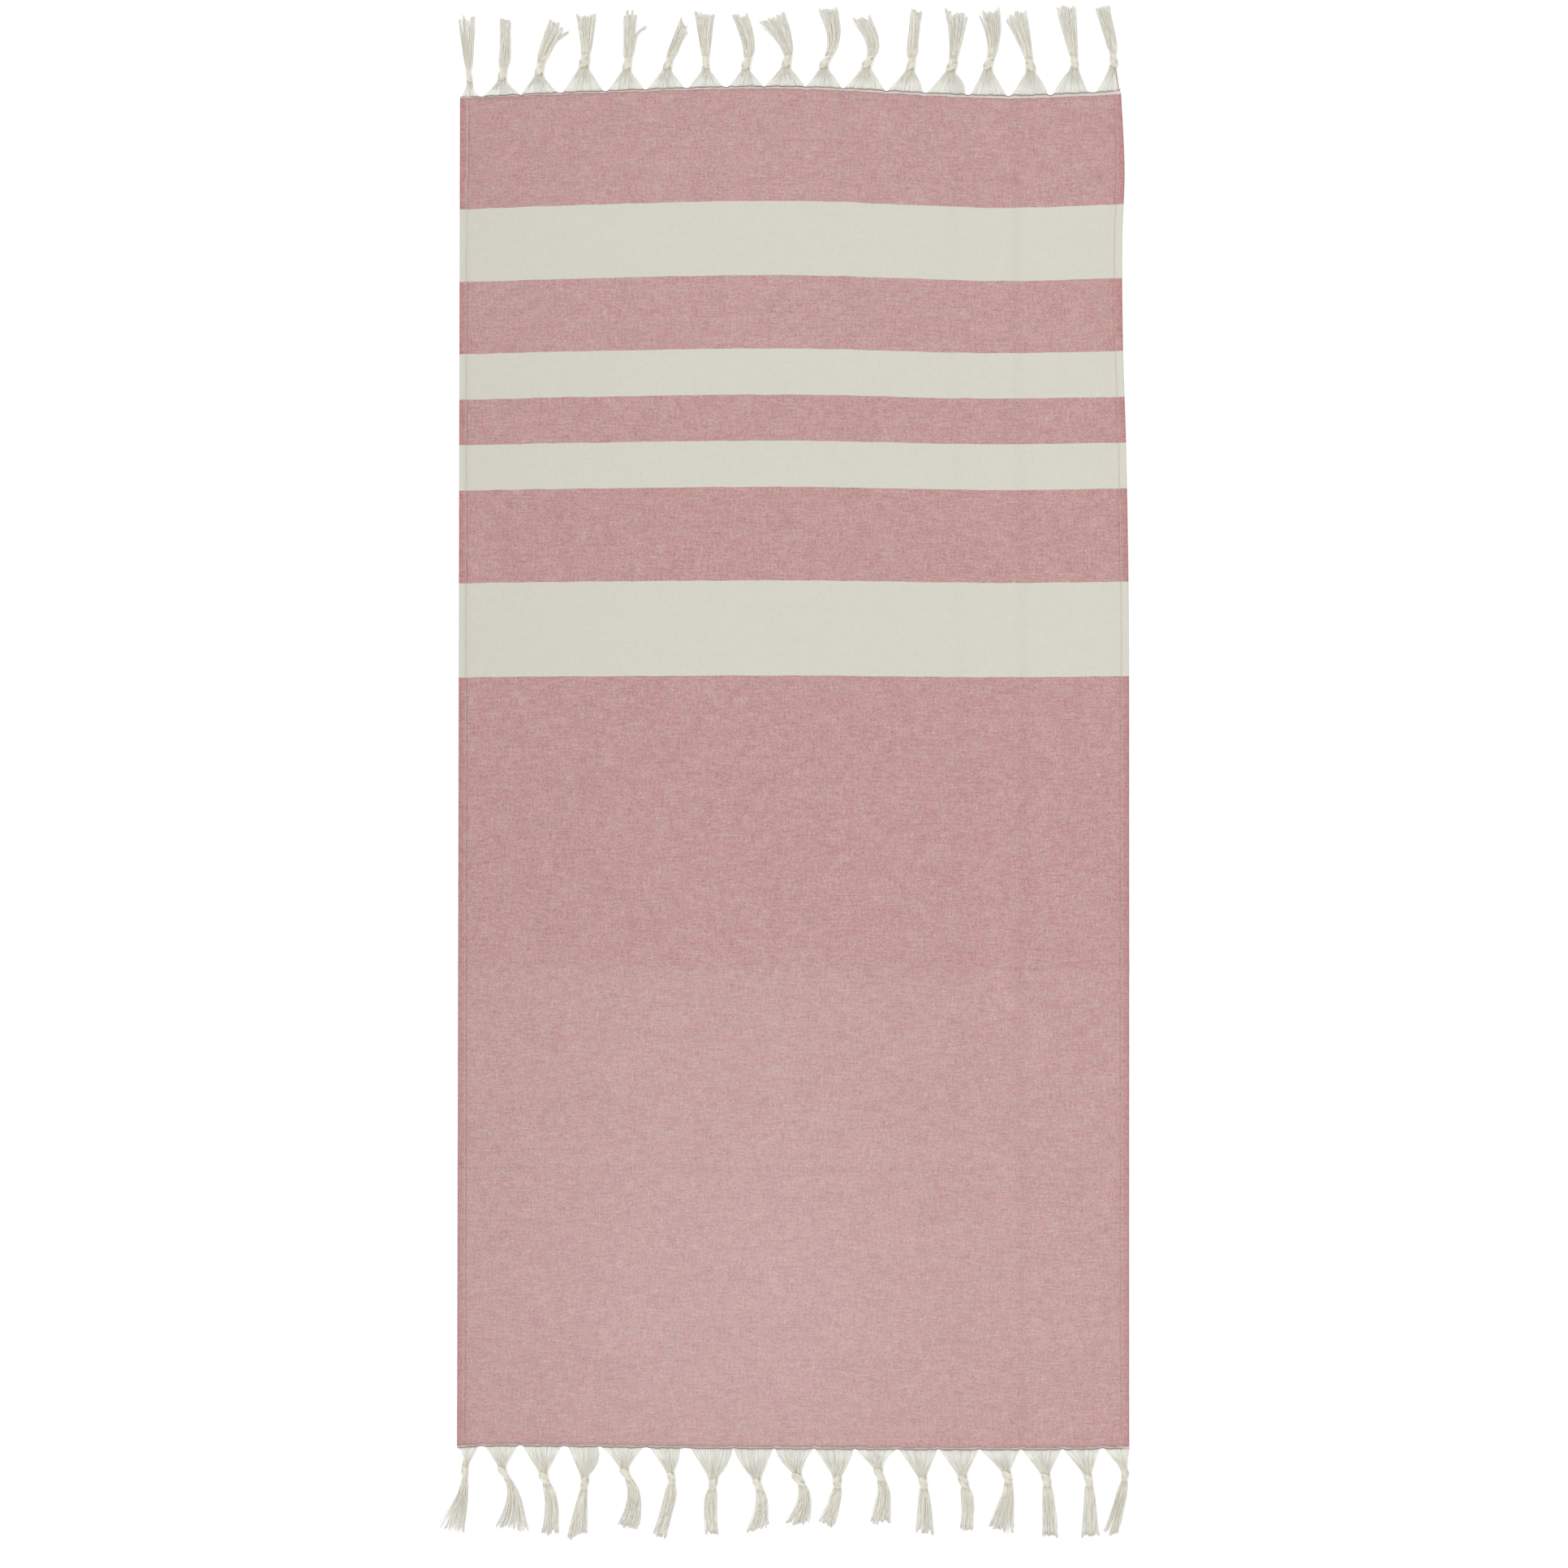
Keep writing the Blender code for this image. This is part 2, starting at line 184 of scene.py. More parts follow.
BOTTOM_TASSELS = [Tassel(*row) for row in (
    (-447, -420, -4, 0, -438, 32, 10, 4, -455, 113, 33, 7),
    (-411, -367, 0, 0, -388, 34, 11, 10, -375, 112, 46, 6),
    (-361, -309, 0, 0, -333, 41, 12, 6, -324, 117, 24, 0),
    (-301, -260, 0, 7, -278, 47, 11, 0, -289, 120, 28, -5),
    (-256, -201, -2, 0, -225, 34, 12, 11, -221, 108, 28, 5),
    (-191, -151, 0, 2, -163, 39, 10, 4, -179, 118, 17, 3),
    (-138, -81, 0, 4, -107, 46, 11, -3, -109, 115, 19, 3),
    (-80, -27, 3, 0, -49, 46, 11, 6, -49, 108, 28, -10),
    (-25, 26, 4, -2, 5, 39, 15, 9, 5, 100, 33, 0),
    (28, 80, 0, 2, 58, 42, 12, 3, 44, 101, 22, 6),
    (82, 136, 0, -3, 113, 32, 12, 6, 115, 98, 27, 0),
    (140, 191, 0, 0, 172, 43, 11, 1, 174, 111, 25, 0),
    (194, 246, 0, 0, 225, 41, 14, 4, 230, 107, 18, 0),
    (248, 301, 0, 0, 284, 35, 13, 5, 273, 108, 32, 10),
    (303, 356, 0, 0, 336, 39, 13, 1, 341, 116, 23, 0),
    (359, 407, 0, 0, 392, 40, 11, 1, 394, 116, 24, 0),
    (413, 447, 0, 0, 441, 34, 11, 2, 422, 115, 21, 4),
)]
# Clumps that part from their tail: the tassel's place in its row, how many yarns from which edge
# (1 right, -1 left), where along the tail they leave it, and where they end.
Stray = namedtuple("Stray", "tassel edge yarns leave tip_x tip_out")
TOP_STRAYS = (Stray(2, 1, 16, 0.5, -300, 84), Stray(4, 1, 16, 0.45, -196, 86),
              Stray(5, 1, 12, 0.6, -142, 77))
BOTTOM_STRAYS = (Stray(4, 1, 6, 0.55, -206, 105), Stray(7, 1, 10, 0.6, -34, 103),
                 Stray(8, 1, 16, 0.4, 19, 99), Stray(13, 1, 20, 0.5, 291, 112))

# Overhand knot: the path of the yarn bundle's middle about the knot's middle. right is in knot
# half widths less the bundle's radius, outwards in half lengths less the radius, and up in radii.
KNOT_PATH = (
    (0.0, -1.6, 0.8), (0.05, -1.2, 0.9), (0.1, -0.6, 1.0), (-0.2, 0.3, 1.9), (0.05, 0.95, 1.9),
    (0.75, 0.95, 1.25), (1.0, 0.45, 1.35), (0.7, -0.1, 2.2), (0.0, -0.6, 2.6),
    (-0.75, -0.85, 2.0), (-1.0, -0.3, 1.2), (-0.6, 0.45, 0.9), (0.0, 0.85, 1.5),
    (0.2, 1.15, 2.0), (0.15, 1.45, 1.5), (0.05, 1.75, 1.0),
)
KNOT_LONG = 17.5
KNOT_PRESSED = 0.72         # how much lower than round a knot lies
KNOT_LEAST = 0.8            # the bundle's least swing to either side
KNOT_BEND = 7               # half the length over which a knot turns from its fan to its tail
KNOT_STEPS = 17
KNOT_MOUTH = 0.17           # share of the path over which the bundle flattens at either end
MOUTH_WIDE_IN, MOUTH_WIDE_OUT, MOUTH_FLAT = 2.0, 1.6, 0.6
BUNDLE_FILL = 0.72          # how much of a bundle's section its yarns fill
BUNDLE_MOST = 0.32          # radius of the thickest bundle, as a share of its knot's width
# The points of a fan's yarns, as shares of the way to the knot, and how spread out they are there.
# The first lies under the cloth's end.
FAN_SHARES = (-0.07, 0.02, 0.3, 0.58, 0.82)
# Painted light: the more spread out a yarn, the greyer and less yellow its colour, for light
# showing through.
FAN_SPREAD_LIT = (1.0, 1.0, 0.85, 0.55, 0.25)
FAN_STEPS = len(FAN_SHARES)
FAN_PULL = 0.18             # how far a fan's yarns are pulled out of line
FAN_LOFT = 0.14             # how far they stand off one another
TAIL_STEPS = 9
LOCK_WIDE = 3.6             # width of one lock of a tail
TAIL_PILE = (3.2, 1.0)      # how high a tail's yarns lie on each other at its knot and its tips
YARN_SIDES = 3
YARN_PRESSED = 0.72         # how much lower than round a loose yarn lies
YARN_LAY = 0.0022           # length of one turn of the yarn's twist, in metres

# Stage, in metres and degrees.
FLOOR_GAP = 0.0002
KEY_SOFTNESS, KEY_TURN = 30, (-32, -28, 0)
CAMERA_OVER = (-0.013, -0.0194)     # the point of the floor that the camera looks straight down on


def length_setting(name, description, default, low, high):
    """A size that the user may change, in metres."""
    return FloatProperty(name=name, description=description, default=default, min=low, max=high,
                         unit="LENGTH")


def colour_setting(name, description, default):
    """A colour that the user may change."""
    return FloatVectorProperty(name=name, description=description, default=default, min=0, max=1,
                               subtype="COLOR")


class TowelClothSettings(bpy.types.PropertyGroup):
    """Sizes and colours of the woven cloth."""
    flat_wide: length_setting("Cut width", "Width the cloth was cut to, hems included",
                              0.91, 0.5, 1.5)
    flat_long: length_setting("Cut length", "Length the cloth was cut to", 1.81, 1.0, 2.5)
    thickness: length_setting("Thickness", "Thickness of one woven layer",
                              CLOTH_THICK * MM, 0.0005, 0.002)
    cell: length_setting("Mesh spacing", "Spacing of the cloth's mesh", 0.0088, 0.004, 0.05)
    thread_pitch: length_setting("Thread spacing", "Spacing of the weave's threads",
                                 0.00075, 0.0004, 0.003)
    deep_pink: colour_setting("Deep pink", "Colour where the dyed weft lies thick",
                              (0.292, 0.158, 0.151))
    pale_pink: colour_setting("Pale pink", "Colour where the undyed warp shows",
                              (0.503, 0.322, 0.311))
    cream: colour_setting("Cream", "Colour of the cross stripes", (0.507, 0.495, 0.434))
    header: colour_setting("Header", "Colour of the few undyed wefts at each end",
                           (0.60, 0.515, 0.48))


class TowelFringeSettings(bpy.types.PropertyGroup):
    """Sizes and colours of the fringe yarns."""
    yarns_per_cm: FloatProperty(
        name="Yarns per centimetre", description="Warp yarns in a centimetre of the cloth's end",
        default=22.5, min=4, max=40)
    yarn_thick: length_setting("Yarn thickness", "Thickness of one warp yarn",
                               0.00051, 0.0002, 0.002)
    cream: colour_setting("Cream yarn", "Colour of the undyed yarn where it lies thick",
                          (0.815, 0.79, 0.69))
    # Painted light: spread-out yarn is given a greyer, less yellow colour for the light showing
    # through it.
    spread_lit: colour_setting("Spread yarn", "Colour of the undyed yarn where it is spread out",
                         (0.795, 0.79, 0.735))
    dyed: colour_setting("Dyed yarn", "Colour of the few dyed yarns at the selvedge",
                         (0.50, 0.27, 0.25))


class TowelThreadSettings(bpy.types.PropertyGroup):
    """Sizes and colours of the sewing threads."""
    stitch_pitch: length_setting("Stitch spacing", "Spacing of the hem stitches",
                                 0.0034, 0.001, 0.01)
    stitch_long: length_setting("Stitch length", "Visible length of one stitch",
                                0.0031, 0.001, 0.01)
    stitch_thick: length_setting("Stitch thread", "Thickness of the hem thread",
                                 0.0008, 0.0002, 0.002)
    stitch_colour: colour_setting(
        "Hem thread", "Colour of the hem thread where the dye has tinted it",
        (0.52, 0.37, 0.355))
    stitch_pale: colour_setting("Pale hem thread", "Colour of the hem thread where it is clean",
                                (0.62, 0.55, 0.51))
    end_thick: length_setting("End thread", "Thickness of one ply of the thread across each end",
                              0.00051, 0.0002, 0.002)
    end_red: colour_setting("Red ply", "Colour of the end thread's dark ply", (0.23, 0.115, 0.115))
    end_pale: colour_setting("Pale ply", "Colour of the end thread's lighter ply",
                             (0.36, 0.25, 0.245))


class TowelStageSettings(bpy.types.PropertyGroup):
    """Floor, light and camera."""
    floor_size: length_setting("Floor size", "Side of the square floor", 90.0, 5, 200)
    floor_colour: colour_setting("Floor colour", "Colour of the plain floor", (0.95, 0.95, 0.95))
    sky_light: FloatProperty(
        name="Soft light", description="Strength of the even light from all round",
        default=1.2, min=0, max=5)
    key_light: FloatProperty(
        name="Key light", description="Strength of the soft key light",
        default=0.6, min=0, max=10)
    lens: FloatProperty(
        name="Lens", description="Focal length of the camera, in millimetres",
        default=85.0, min=20, max=300)
    camera_height: length_setting("Camera height", "Height of the camera over the floor",
                                  4.927, 1, 20)


def mix(start, end, share):
    """The value a share of the way from start to end."""
    return start + (end - start) * share


def ease(share):
    """A share from 0 to 1 that starts and stops softly."""
    share = np.clip(share, 0.0, 1.0)
    return share * share * (3 - 2 * share)


def read(table, place):
    """Read a two-column table at a place, on a smooth curve through its rows."""
    last = len(table) - 1
    row = 0
    while row < last - 1 and place > table[row + 1][0]:
        row += 1
    (start, low), (end, high) = table[row], table[row + 1]

    def slope(index):
        before, after = table[max(index - 1, 0)], table[min(index + 1, last)]
        return (after[1] - before[1]) / (after[0] - before[0])

    span = end - start
    t = min(max((place - start) / span, 0.0), 1.0)
    bend = t * (1 - t) * ((1 - t) * (slope(row) * span - (high - low))
                          - t * (slope(row + 1) * span - (high - low)))
    return mix(low, high, t) + bend


def cloth_point(column, row):
    """Where a warp column meets a weft row: the ends' curve fades towards the other end."""
    left, right = read(LEFT_SIDE, row), read(RIGHT_SIDE, row)
    x = mix(left, right, (column + HALF_WIDE) / (2 * HALF_WIDE))
    t = (row + HALF_LONG) / (2 * HALF_LONG)
    top = read(TOP_END, x) - CLOTH_SHORT - HALF_LONG
    bottom = read(BOTTOM_END, x) + CLOTH_SHORT + HALF_LONG
    y = row + top * t ** END_FADE + bottom * (1 - t) ** END_FADE
    if HALF_LONG - abs(row) < NOTCH_FADE:
        felt = 1 - (HALF_LONG - abs(row)) / NOTCH_FADE
        y -= felt * (end_notch(TOP_TASSELS, x) if row > 0 else -end_notch(BOTTOM_TASSELS, x))
    return x, y


def soft_ridge(distance, reach):
    """Height of a rounded ridge, from 1 on its line to 0 at its reach."""
    return cos(pi / 2 * min(abs(distance) / reach, 1.0)) ** 2


def tassel_gaps(tassels):
    """The middles of the gaps between tassels."""
    return [(first.right + second.left) / 2 for first, second in zip(tassels, tassels[1:])]


def end_notch(tassels, x):
    """How far the cloth's end is pulled in at x, between two tassels."""
    return NOTCH_DEEP * max(soft_ridge(x - gap, NOTCH_REACH) for gap in tassel_gaps(tassels))


def cloth_lift(column, row):
    """How far the cloth stands off the surface on its creases, ripples and buckle."""
    lift = max(crease.lift * soft_ridge(column - crease.place, crease.reach)
               for crease in LENGTHWISE_CREASES)
    lift = max(lift, *(crease.lift * soft_ridge(row - crease.place, crease.reach)
                       for crease in CROSSWISE_CREASES))
    for ripple in RIPPLES:
        wave = sin(2 * pi * (column / ripple.across + row / ripple.along) + ripple.shift)
        lift += ripple.lift * (1 + wave) / 2
    if BUCKLE[0][0] < row < BUCKLE[-1][0]:
        fade = sin(pi * (row - BUCKLE[0][0]) / (BUCKLE[-1][0] - BUCKLE[0][0]))
        lift += BUCKLE_LIFT * fade * soft_ridge(column - read(BUCKLE, row), BUCKLE_REACH)
    return lift


# ---------------------------------------------------------------------------------- shaders

def wire(tree, kind, inputs=(), **settings):
    """Add a shader node, set its properties, and feed its inputs by name or number."""
    made = tree.nodes.new("ShaderNode" + kind)
    for name, value in settings.items():
        setattr(made, name, value)
    for socket, value in dict(inputs).items():
        if isinstance(value, bpy.types.NodeSocket):
            tree.links.new(value, made.inputs[socket])
        else:
            made.inputs[socket].default_value = value
    return made


def calc(tree, operation, *values, clamp=False):
    """One step of arithmetic in a node tree."""
    made = wire(tree, "Math", enumerate(values), operation=operation, use_clamp=clamp)
    return made.outputs[0]


def tint(tree, factor, first, second, kind="MIX"):
    """Mix two colours in a node tree."""
    made = wire(tree, "Mix", {0: factor, 6: opaque(first), 7: opaque(second)},
                data_type="RGBA", blend_type=kind)
    return made.outputs[2]


def opaque(colour):
    """A colour of three numbers with its fourth, or a socket as it is."""
    return colour if isinstance(colour, bpy.types.NodeSocket) else (*colour, 1.0)


def remap(tree, value, low, high, to_low=0.0, to_high=1.0, curve="LINEAR"):
    """Turn the range low to high into another, and hold it at the ends."""
    made = wire(tree, "MapRange", {0: value, 1: low, 2: high, 3: to_low, 4: to_high},
                interpolation_type=curve)
    return made.outputs[0]


def graph(tree, value, stops):
    """A number read from stops, given as (place, number) in order of place."""
    return colour_graph(tree, value, [(place, (number,) * 3) for place, number in stops])


def colour_graph(tree, value, stops):
    """A colour read from stops, given as (place, colour) in order of place."""
    low, high = stops[0][0], stops[-1][0]
    made = wire(tree, "ValToRGB", {0: remap(tree, value, low, high)})
    ramp = made.color_ramp
    ramp.elements[0].color = opaque(stops[0][1])
    ramp.elements[1].color = opaque(stops[-1][1])
    for place, colour in stops[1:-1]:
        ramp.elements.new((place - low) / (high - low)).color = opaque(colour)
    return made.outputs[0]


def in_metres(stops):
    """Stops whose places are in millimetres, in metres."""
    return [(place * MM, number) for place, number in stops]


def speckle(tree, place, sizes):
    """Noise whose blobs have these sizes in metres across and along, about 0.5."""
    across, along = sizes
    stretched = wire(tree, "VectorMath", {0: place, 1: (1 / across, 1 / along, 1 / along)},
                     operation="MULTIPLY").outputs[0]
    return wire(tree, "TexNoise", {"Vector": stretched, "Scale": 1.0, "Detail": 0.0}).outputs[0]


def waver(tree, place, sizes):
    """The same noise about 0."""
    return calc(tree, "SUBTRACT", speckle(tree, place, sizes), 0.5)


def new_group(name, inputs, outputs):
    """An empty shader node group, with the sockets inside it that give and take its values."""
    group = bpy.data.node_groups.new(name, "ShaderNodeTree")
    for direction, sockets in (("INPUT", inputs), ("OUTPUT", outputs)):
        for label, kind in sockets:
            group.interface.new_socket(label, in_out=direction, socket_type="NodeSocket" + kind)
    given = group.nodes.new("NodeGroupInput").outputs
    return group, given, group.nodes.new("NodeGroupOutput").inputs


def uneven_cotton():
    """Group: how hand-spun cotton varies, as short slubs both ways and small blobs."""
    if "uneven_cotton" in bpy.data.node_groups:
        return bpy.data.node_groups["uneven_cotton"]
    group, given, result = new_group(
        "uneven_cotton", (("Place", "Vector"), ("Strength", "Float")), (("Tone", "Float"),))
    tone = None
    for across, along, weight in COTTON_PARTS:
        part = calc(group, "MULTIPLY", waver(group, given["Place"], (across, along)), weight)
        tone = part if tone is None else calc(group, "ADD", tone, part)
    strong = calc(group, "MULTIPLY", tone, given["Strength"])
    group.links.new(calc(group, "ADD", strong, 0.5, clamp=True), result["Tone"])
    return group


def plain_weave():
    """Group: a plain weave, as where the warp lies on top and how high the threads stand."""
    if "plain_weave" in bpy.data.node_groups:
        return bpy.data.node_groups["plain_weave"]
    group, given, result = new_group(
        "plain_weave", (("Place", "Vector"), ("Pitch", "Float")),
        (("Warp", "Float"), ("Height", "Float")))
    place = wire(group, "SeparateXYZ", {0: given["Place"]}).outputs
    waves = []
    for axis in (0, 1):
        turns = calc(group, "DIVIDE", place[axis], given["Pitch"])
        waves.append(calc(group, "SINE", calc(group, "MULTIPLY", turns, pi)))
    crossing = calc(group, "MULTIPLY", *waves)
    group.links.new(calc(group, "MULTIPLY_ADD", crossing, 2.5, 0.5, clamp=True), result["Warp"])
    height = calc(group, "POWER", calc(group, "ABSOLUTE", crossing), 0.6)
    group.links.new(height, result["Height"])
    return group


def twisted_yarn():
    """Group: the ridges of a yarn's twist, from how far round and along the yarn a point is."""
    if "twisted_yarn" in bpy.data.node_groups:
        return bpy.data.node_groups["twisted_yarn"]
    group, given, result = new_group(
        "twisted_yarn", (("Round", "Vector"), ("Lay", "Float")), (("Ridge", "Float"),))
    round_yarn = wire(group, "SeparateXYZ", {0: given["Round"]}).outputs
    turn = calc(group, "MULTIPLY", calc(group, "DIVIDE", round_yarn[2], given["Lay"]), 2 * pi)
    first = calc(group, "MULTIPLY", round_yarn[0], calc(group, "COSINE", turn))
    second = calc(group, "MULTIPLY", round_yarn[1], calc(group, "SINE", turn))
    group.links.new(calc(group, "MULTIPLY_ADD", calc(group, "SUBTRACT", first, second), 0.5, 0.5),
                    result["Ridge"])
    return group


def use_group(tree, group, **inputs):
    """Place a node group in a material."""
    return wire(tree, "Group", inputs, node_tree=group).outputs


def cotton_shader(name, sheen):
    """A new material, its tree, and its matte cotton shader."""
    material = bpy.data.materials.new(name)
    material.use_nodes = True
    shader = material.node_tree.nodes["Principled BSDF"]
    shader.inputs["Roughness"].default_value = 0.9
    shader.inputs["Specular IOR Level"].default_value = 0.15
    shader.inputs["Sheen Weight"].default_value = sheen
    shader.inputs["Sheen Roughness"].default_value = 0.6
    return material, material.node_tree, shader


def cloth_material(cloth):
    """Dusty pink plain weave with cream cross stripes, headers, hems, creases and fading."""
    material, tree, shader = cotton_shader("striped_cotton", 0.08)
    place = wire(tree, "Attribute", attribute_name="cloth_place").outputs["Vector"]
    column, row, _ = wire(tree, "SeparateXYZ", {0: place}).outputs
    cotton = use_group(tree, uneven_cotton(), Place=place, Strength=2.25)["Tone"]
    weave = use_group(tree, plain_weave(), Place=place, Pitch=cloth.thread_pitch)
    tone = calc(tree, "MULTIPLY_ADD", calc(tree, "SUBTRACT", weave["Warp"], 0.5), 0.2, cotton,
                clamp=True)
    pink = tint(tree, tone, cloth.deep_pink, cloth.pale_pink)

    # The dye took unevenly: greyer and redder patches a finger wide.
    patch = remap(tree, speckle(tree, place, (0.017, 0.014)), 0.3, 0.7)
    pink = tint(tree, 1.0, pink, tint(tree, patch, (1.0, 0.955, 0.975), (1.0, 1.045, 1.025)),
                "MULTIPLY")

    # Neps: a few knots of fibre, darker than the cloth.
    nep = wire(tree, "TexVoronoi", {"Vector": place, "Scale": NEPS_PER_METRE}).outputs["Distance"]
    pink = tint(tree, remap(tree, nep, *NEP_REACH, 0.0, NEP_DARK), pink, cloth.deep_pink)

    # Paler along the cloth, less so at its sides.
    fade = calc(tree, "MULTIPLY", graph(tree, row, in_metres(PALER_ALONG)),
                graph(tree, column, in_metres(PALER_ACROSS)))
    pink = tint(tree, fade, pink, PALER_COLOUR)

    # Hems: two layers look deeper, with a shadow along the step and the fold.
    from_middle = calc(tree, "ABSOLUTE", column)
    pink = tint(tree, 1.0, pink, colour_graph(tree, from_middle, HEM_BANDS), "MULTIPLY")

    # Cream stripes, whose edges wander by a weft thread or so.
    woven_row = calc(tree, "MULTIPLY_ADD", waver(tree, place, (0.03, 0.2)), STRIPE_WANDER, row)
    stripe = None
    for low, high in STRIPES:
        middle, half = (low + high) / 2 * MM, (high - low) / 2 * MM
        band = calc(tree, "COMPARE", woven_row, middle, half)
        stripe = band if stripe is None else calc(tree, "ADD", stripe, band)
    cream_shade = remap(tree, tone, 0.0, 1.0, 0.95, 1.05)
    cream = tint(tree, 1.0, cloth.cream, cream_shade, "MULTIPLY")
    cream = tint(tree, 1.0, cream, graph(tree, from_middle, CREAM_HEM_BANDS), "MULTIPLY")
    colour = tint(tree, stripe, pink, cream)

    # Headers: a few undyed wefts beyond the last pink one, which lies in their shadow.
    weft = calc(tree, "MULTIPLY_ADD", waver(tree, place, (0.007, 0.2)), HEADER_WANDER, row)
    top_edge = remap(tree, column, -HALF_WIDE * MM, HALF_WIDE * MM,
                     (HALF_LONG - TOP_HEADER[0]) * MM, (HALF_LONG - TOP_HEADER[1]) * MM)
    beyond = calc(tree, "MAXIMUM", calc(tree, "SUBTRACT", weft, top_edge),
                  calc(tree, "SUBTRACT", (BOTTOM_HEADER - HALF_LONG) * MM, weft))
    colour = tint(tree, 1.0, colour, graph(tree, beyond, ((-0.004, 1.0), (-0.0006, 0.93),
                                                          (0.0, 0.93))), "MULTIPLY")
    # The top header is barer of pink weft towards its wider end.
    bare = calc(tree, "MULTIPLY", calc(tree, "GREATER_THAN", row, 0.0),
                remap(tree, column, -HALF_WIDE * MM, HALF_WIDE * MM, 0.0, 0.85))
    header = tint(tree, 1.0, tint(tree, bare, cloth.header, HEADER_BARE), cream_shade, "MULTIPLY")
    colour = tint(tree, calc(tree, "GREATER_THAN", beyond, 0.0), colour, header)

    # Painted shade on the pressed creases, and painted light falling off towards the sides.
    shade = graph(tree, column, in_metres(SHADE_ACROSS))
    for across, reach, crease_shades in ((column, LENGTHWISE_REACH, LENGTHWISE_CREASE_SHADE),
                                 (row, CROSSWISE_REACH, CROSSWISE_CREASE_SHADE)):
        for crease, depth in crease_shades:
            off = calc(tree, "ABSOLUTE", calc(tree, "SUBTRACT", across, crease * MM))
            line = remap(tree, off, 0.0, reach, 1 - depth, 1.0, "SMOOTHSTEP")
            shade = calc(tree, "MULTIPLY", shade, line)
    colour = tint(tree, 1.0, colour, shade, "MULTIPLY")
    tree.links.new(colour, shader.inputs["Base Color"])

    height = calc(tree, "MULTIPLY_ADD", cotton, 0.8, weave["Height"])
    bump = wire(tree, "Bump", {"Height": height, "Strength": 0.6, "Distance": 0.00012})
    tree.links.new(bump.outputs[0], shader.inputs["Normal"])
    rough = remap(tree, weave["Height"], 0.0, 1.0, 0.97, 0.86)
    tree.links.new(rough, shader.inputs["Roughness"])
    return material


def yarn_material(name, plain, dyed, lay, contrast, spread_lit=None):
    """Twisted cotton yarn. Its marks say how light it is, how much dyed and how spread out."""
    material, tree, shader = cotton_shader(name, 0.1)
    round_yarn = wire(tree, "Attribute", attribute_name="yarn_round").outputs["Vector"]
    marks = wire(tree, "Attribute", attribute_name="yarn_marks").outputs["Vector"]
    tone, dye, spread = wire(tree, "SeparateXYZ", {0: marks}).outputs
    ridge = use_group(tree, twisted_yarn(), Round=round_yarn, Lay=lay)["Ridge"]
    place = wire(tree, "TexCoord").outputs["Object"]
    cotton = use_group(tree, uneven_cotton(), Place=place, Strength=0.8)["Tone"]
    # Spread-out yarn is mixed towards a greyer colour: painted light showing through thin yarn.
    colour = tint(tree, dye, tint(tree, spread, plain, spread_lit) if spread_lit else plain, dyed)
    shade = calc(tree, "ADD", remap(tree, tone, 0.0, 1.0, 1 - contrast, 1.0),
                 remap(tree, cotton, 0.0, 1.0, -0.06, 0.06))
    # Painted shade in the grooves of the yarn's twist.
    shade = calc(tree, "MULTIPLY", shade, remap(tree, ridge, 0.0, 1.0, 0.95, 1.0))
    tree.links.new(tint(tree, 1.0, colour, shade, "MULTIPLY"), shader.inputs["Base Color"])
    bump = wire(tree, "Bump", {"Height": ridge, "Strength": 0.35, "Distance": 0.0001})
    tree.links.new(bump.outputs[0], shader.inputs["Normal"])
    return material


# ---------------------------------------------------------------------------------- meshes

def start_clean():
    """Leave nothing selected, so that an operator acts on its own piece alone."""
    if bpy.context.object and bpy.context.object.mode != "OBJECT":
        bpy.ops.object.mode_set(mode="OBJECT")
    bpy.ops.object.select_all(action="DESELECT")


def keep_numbers(mesh, name, numbers):
    """Keep three numbers for each vertex, for the materials to read."""
    kept = mesh.attributes.new(name, "FLOAT_VECTOR", "POINT")
    kept.data.foreach_set("vector", np.asarray(numbers, np.float32).ravel())


def finish_piece(piece, material, replaced=None):
    """Give a finished piece its material, its body and what it stands for."""
    piece.data.materials.append(material)
    piece.data.shade_smooth()
    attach(piece, BODY)
    if replaced:
        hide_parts(replaced)


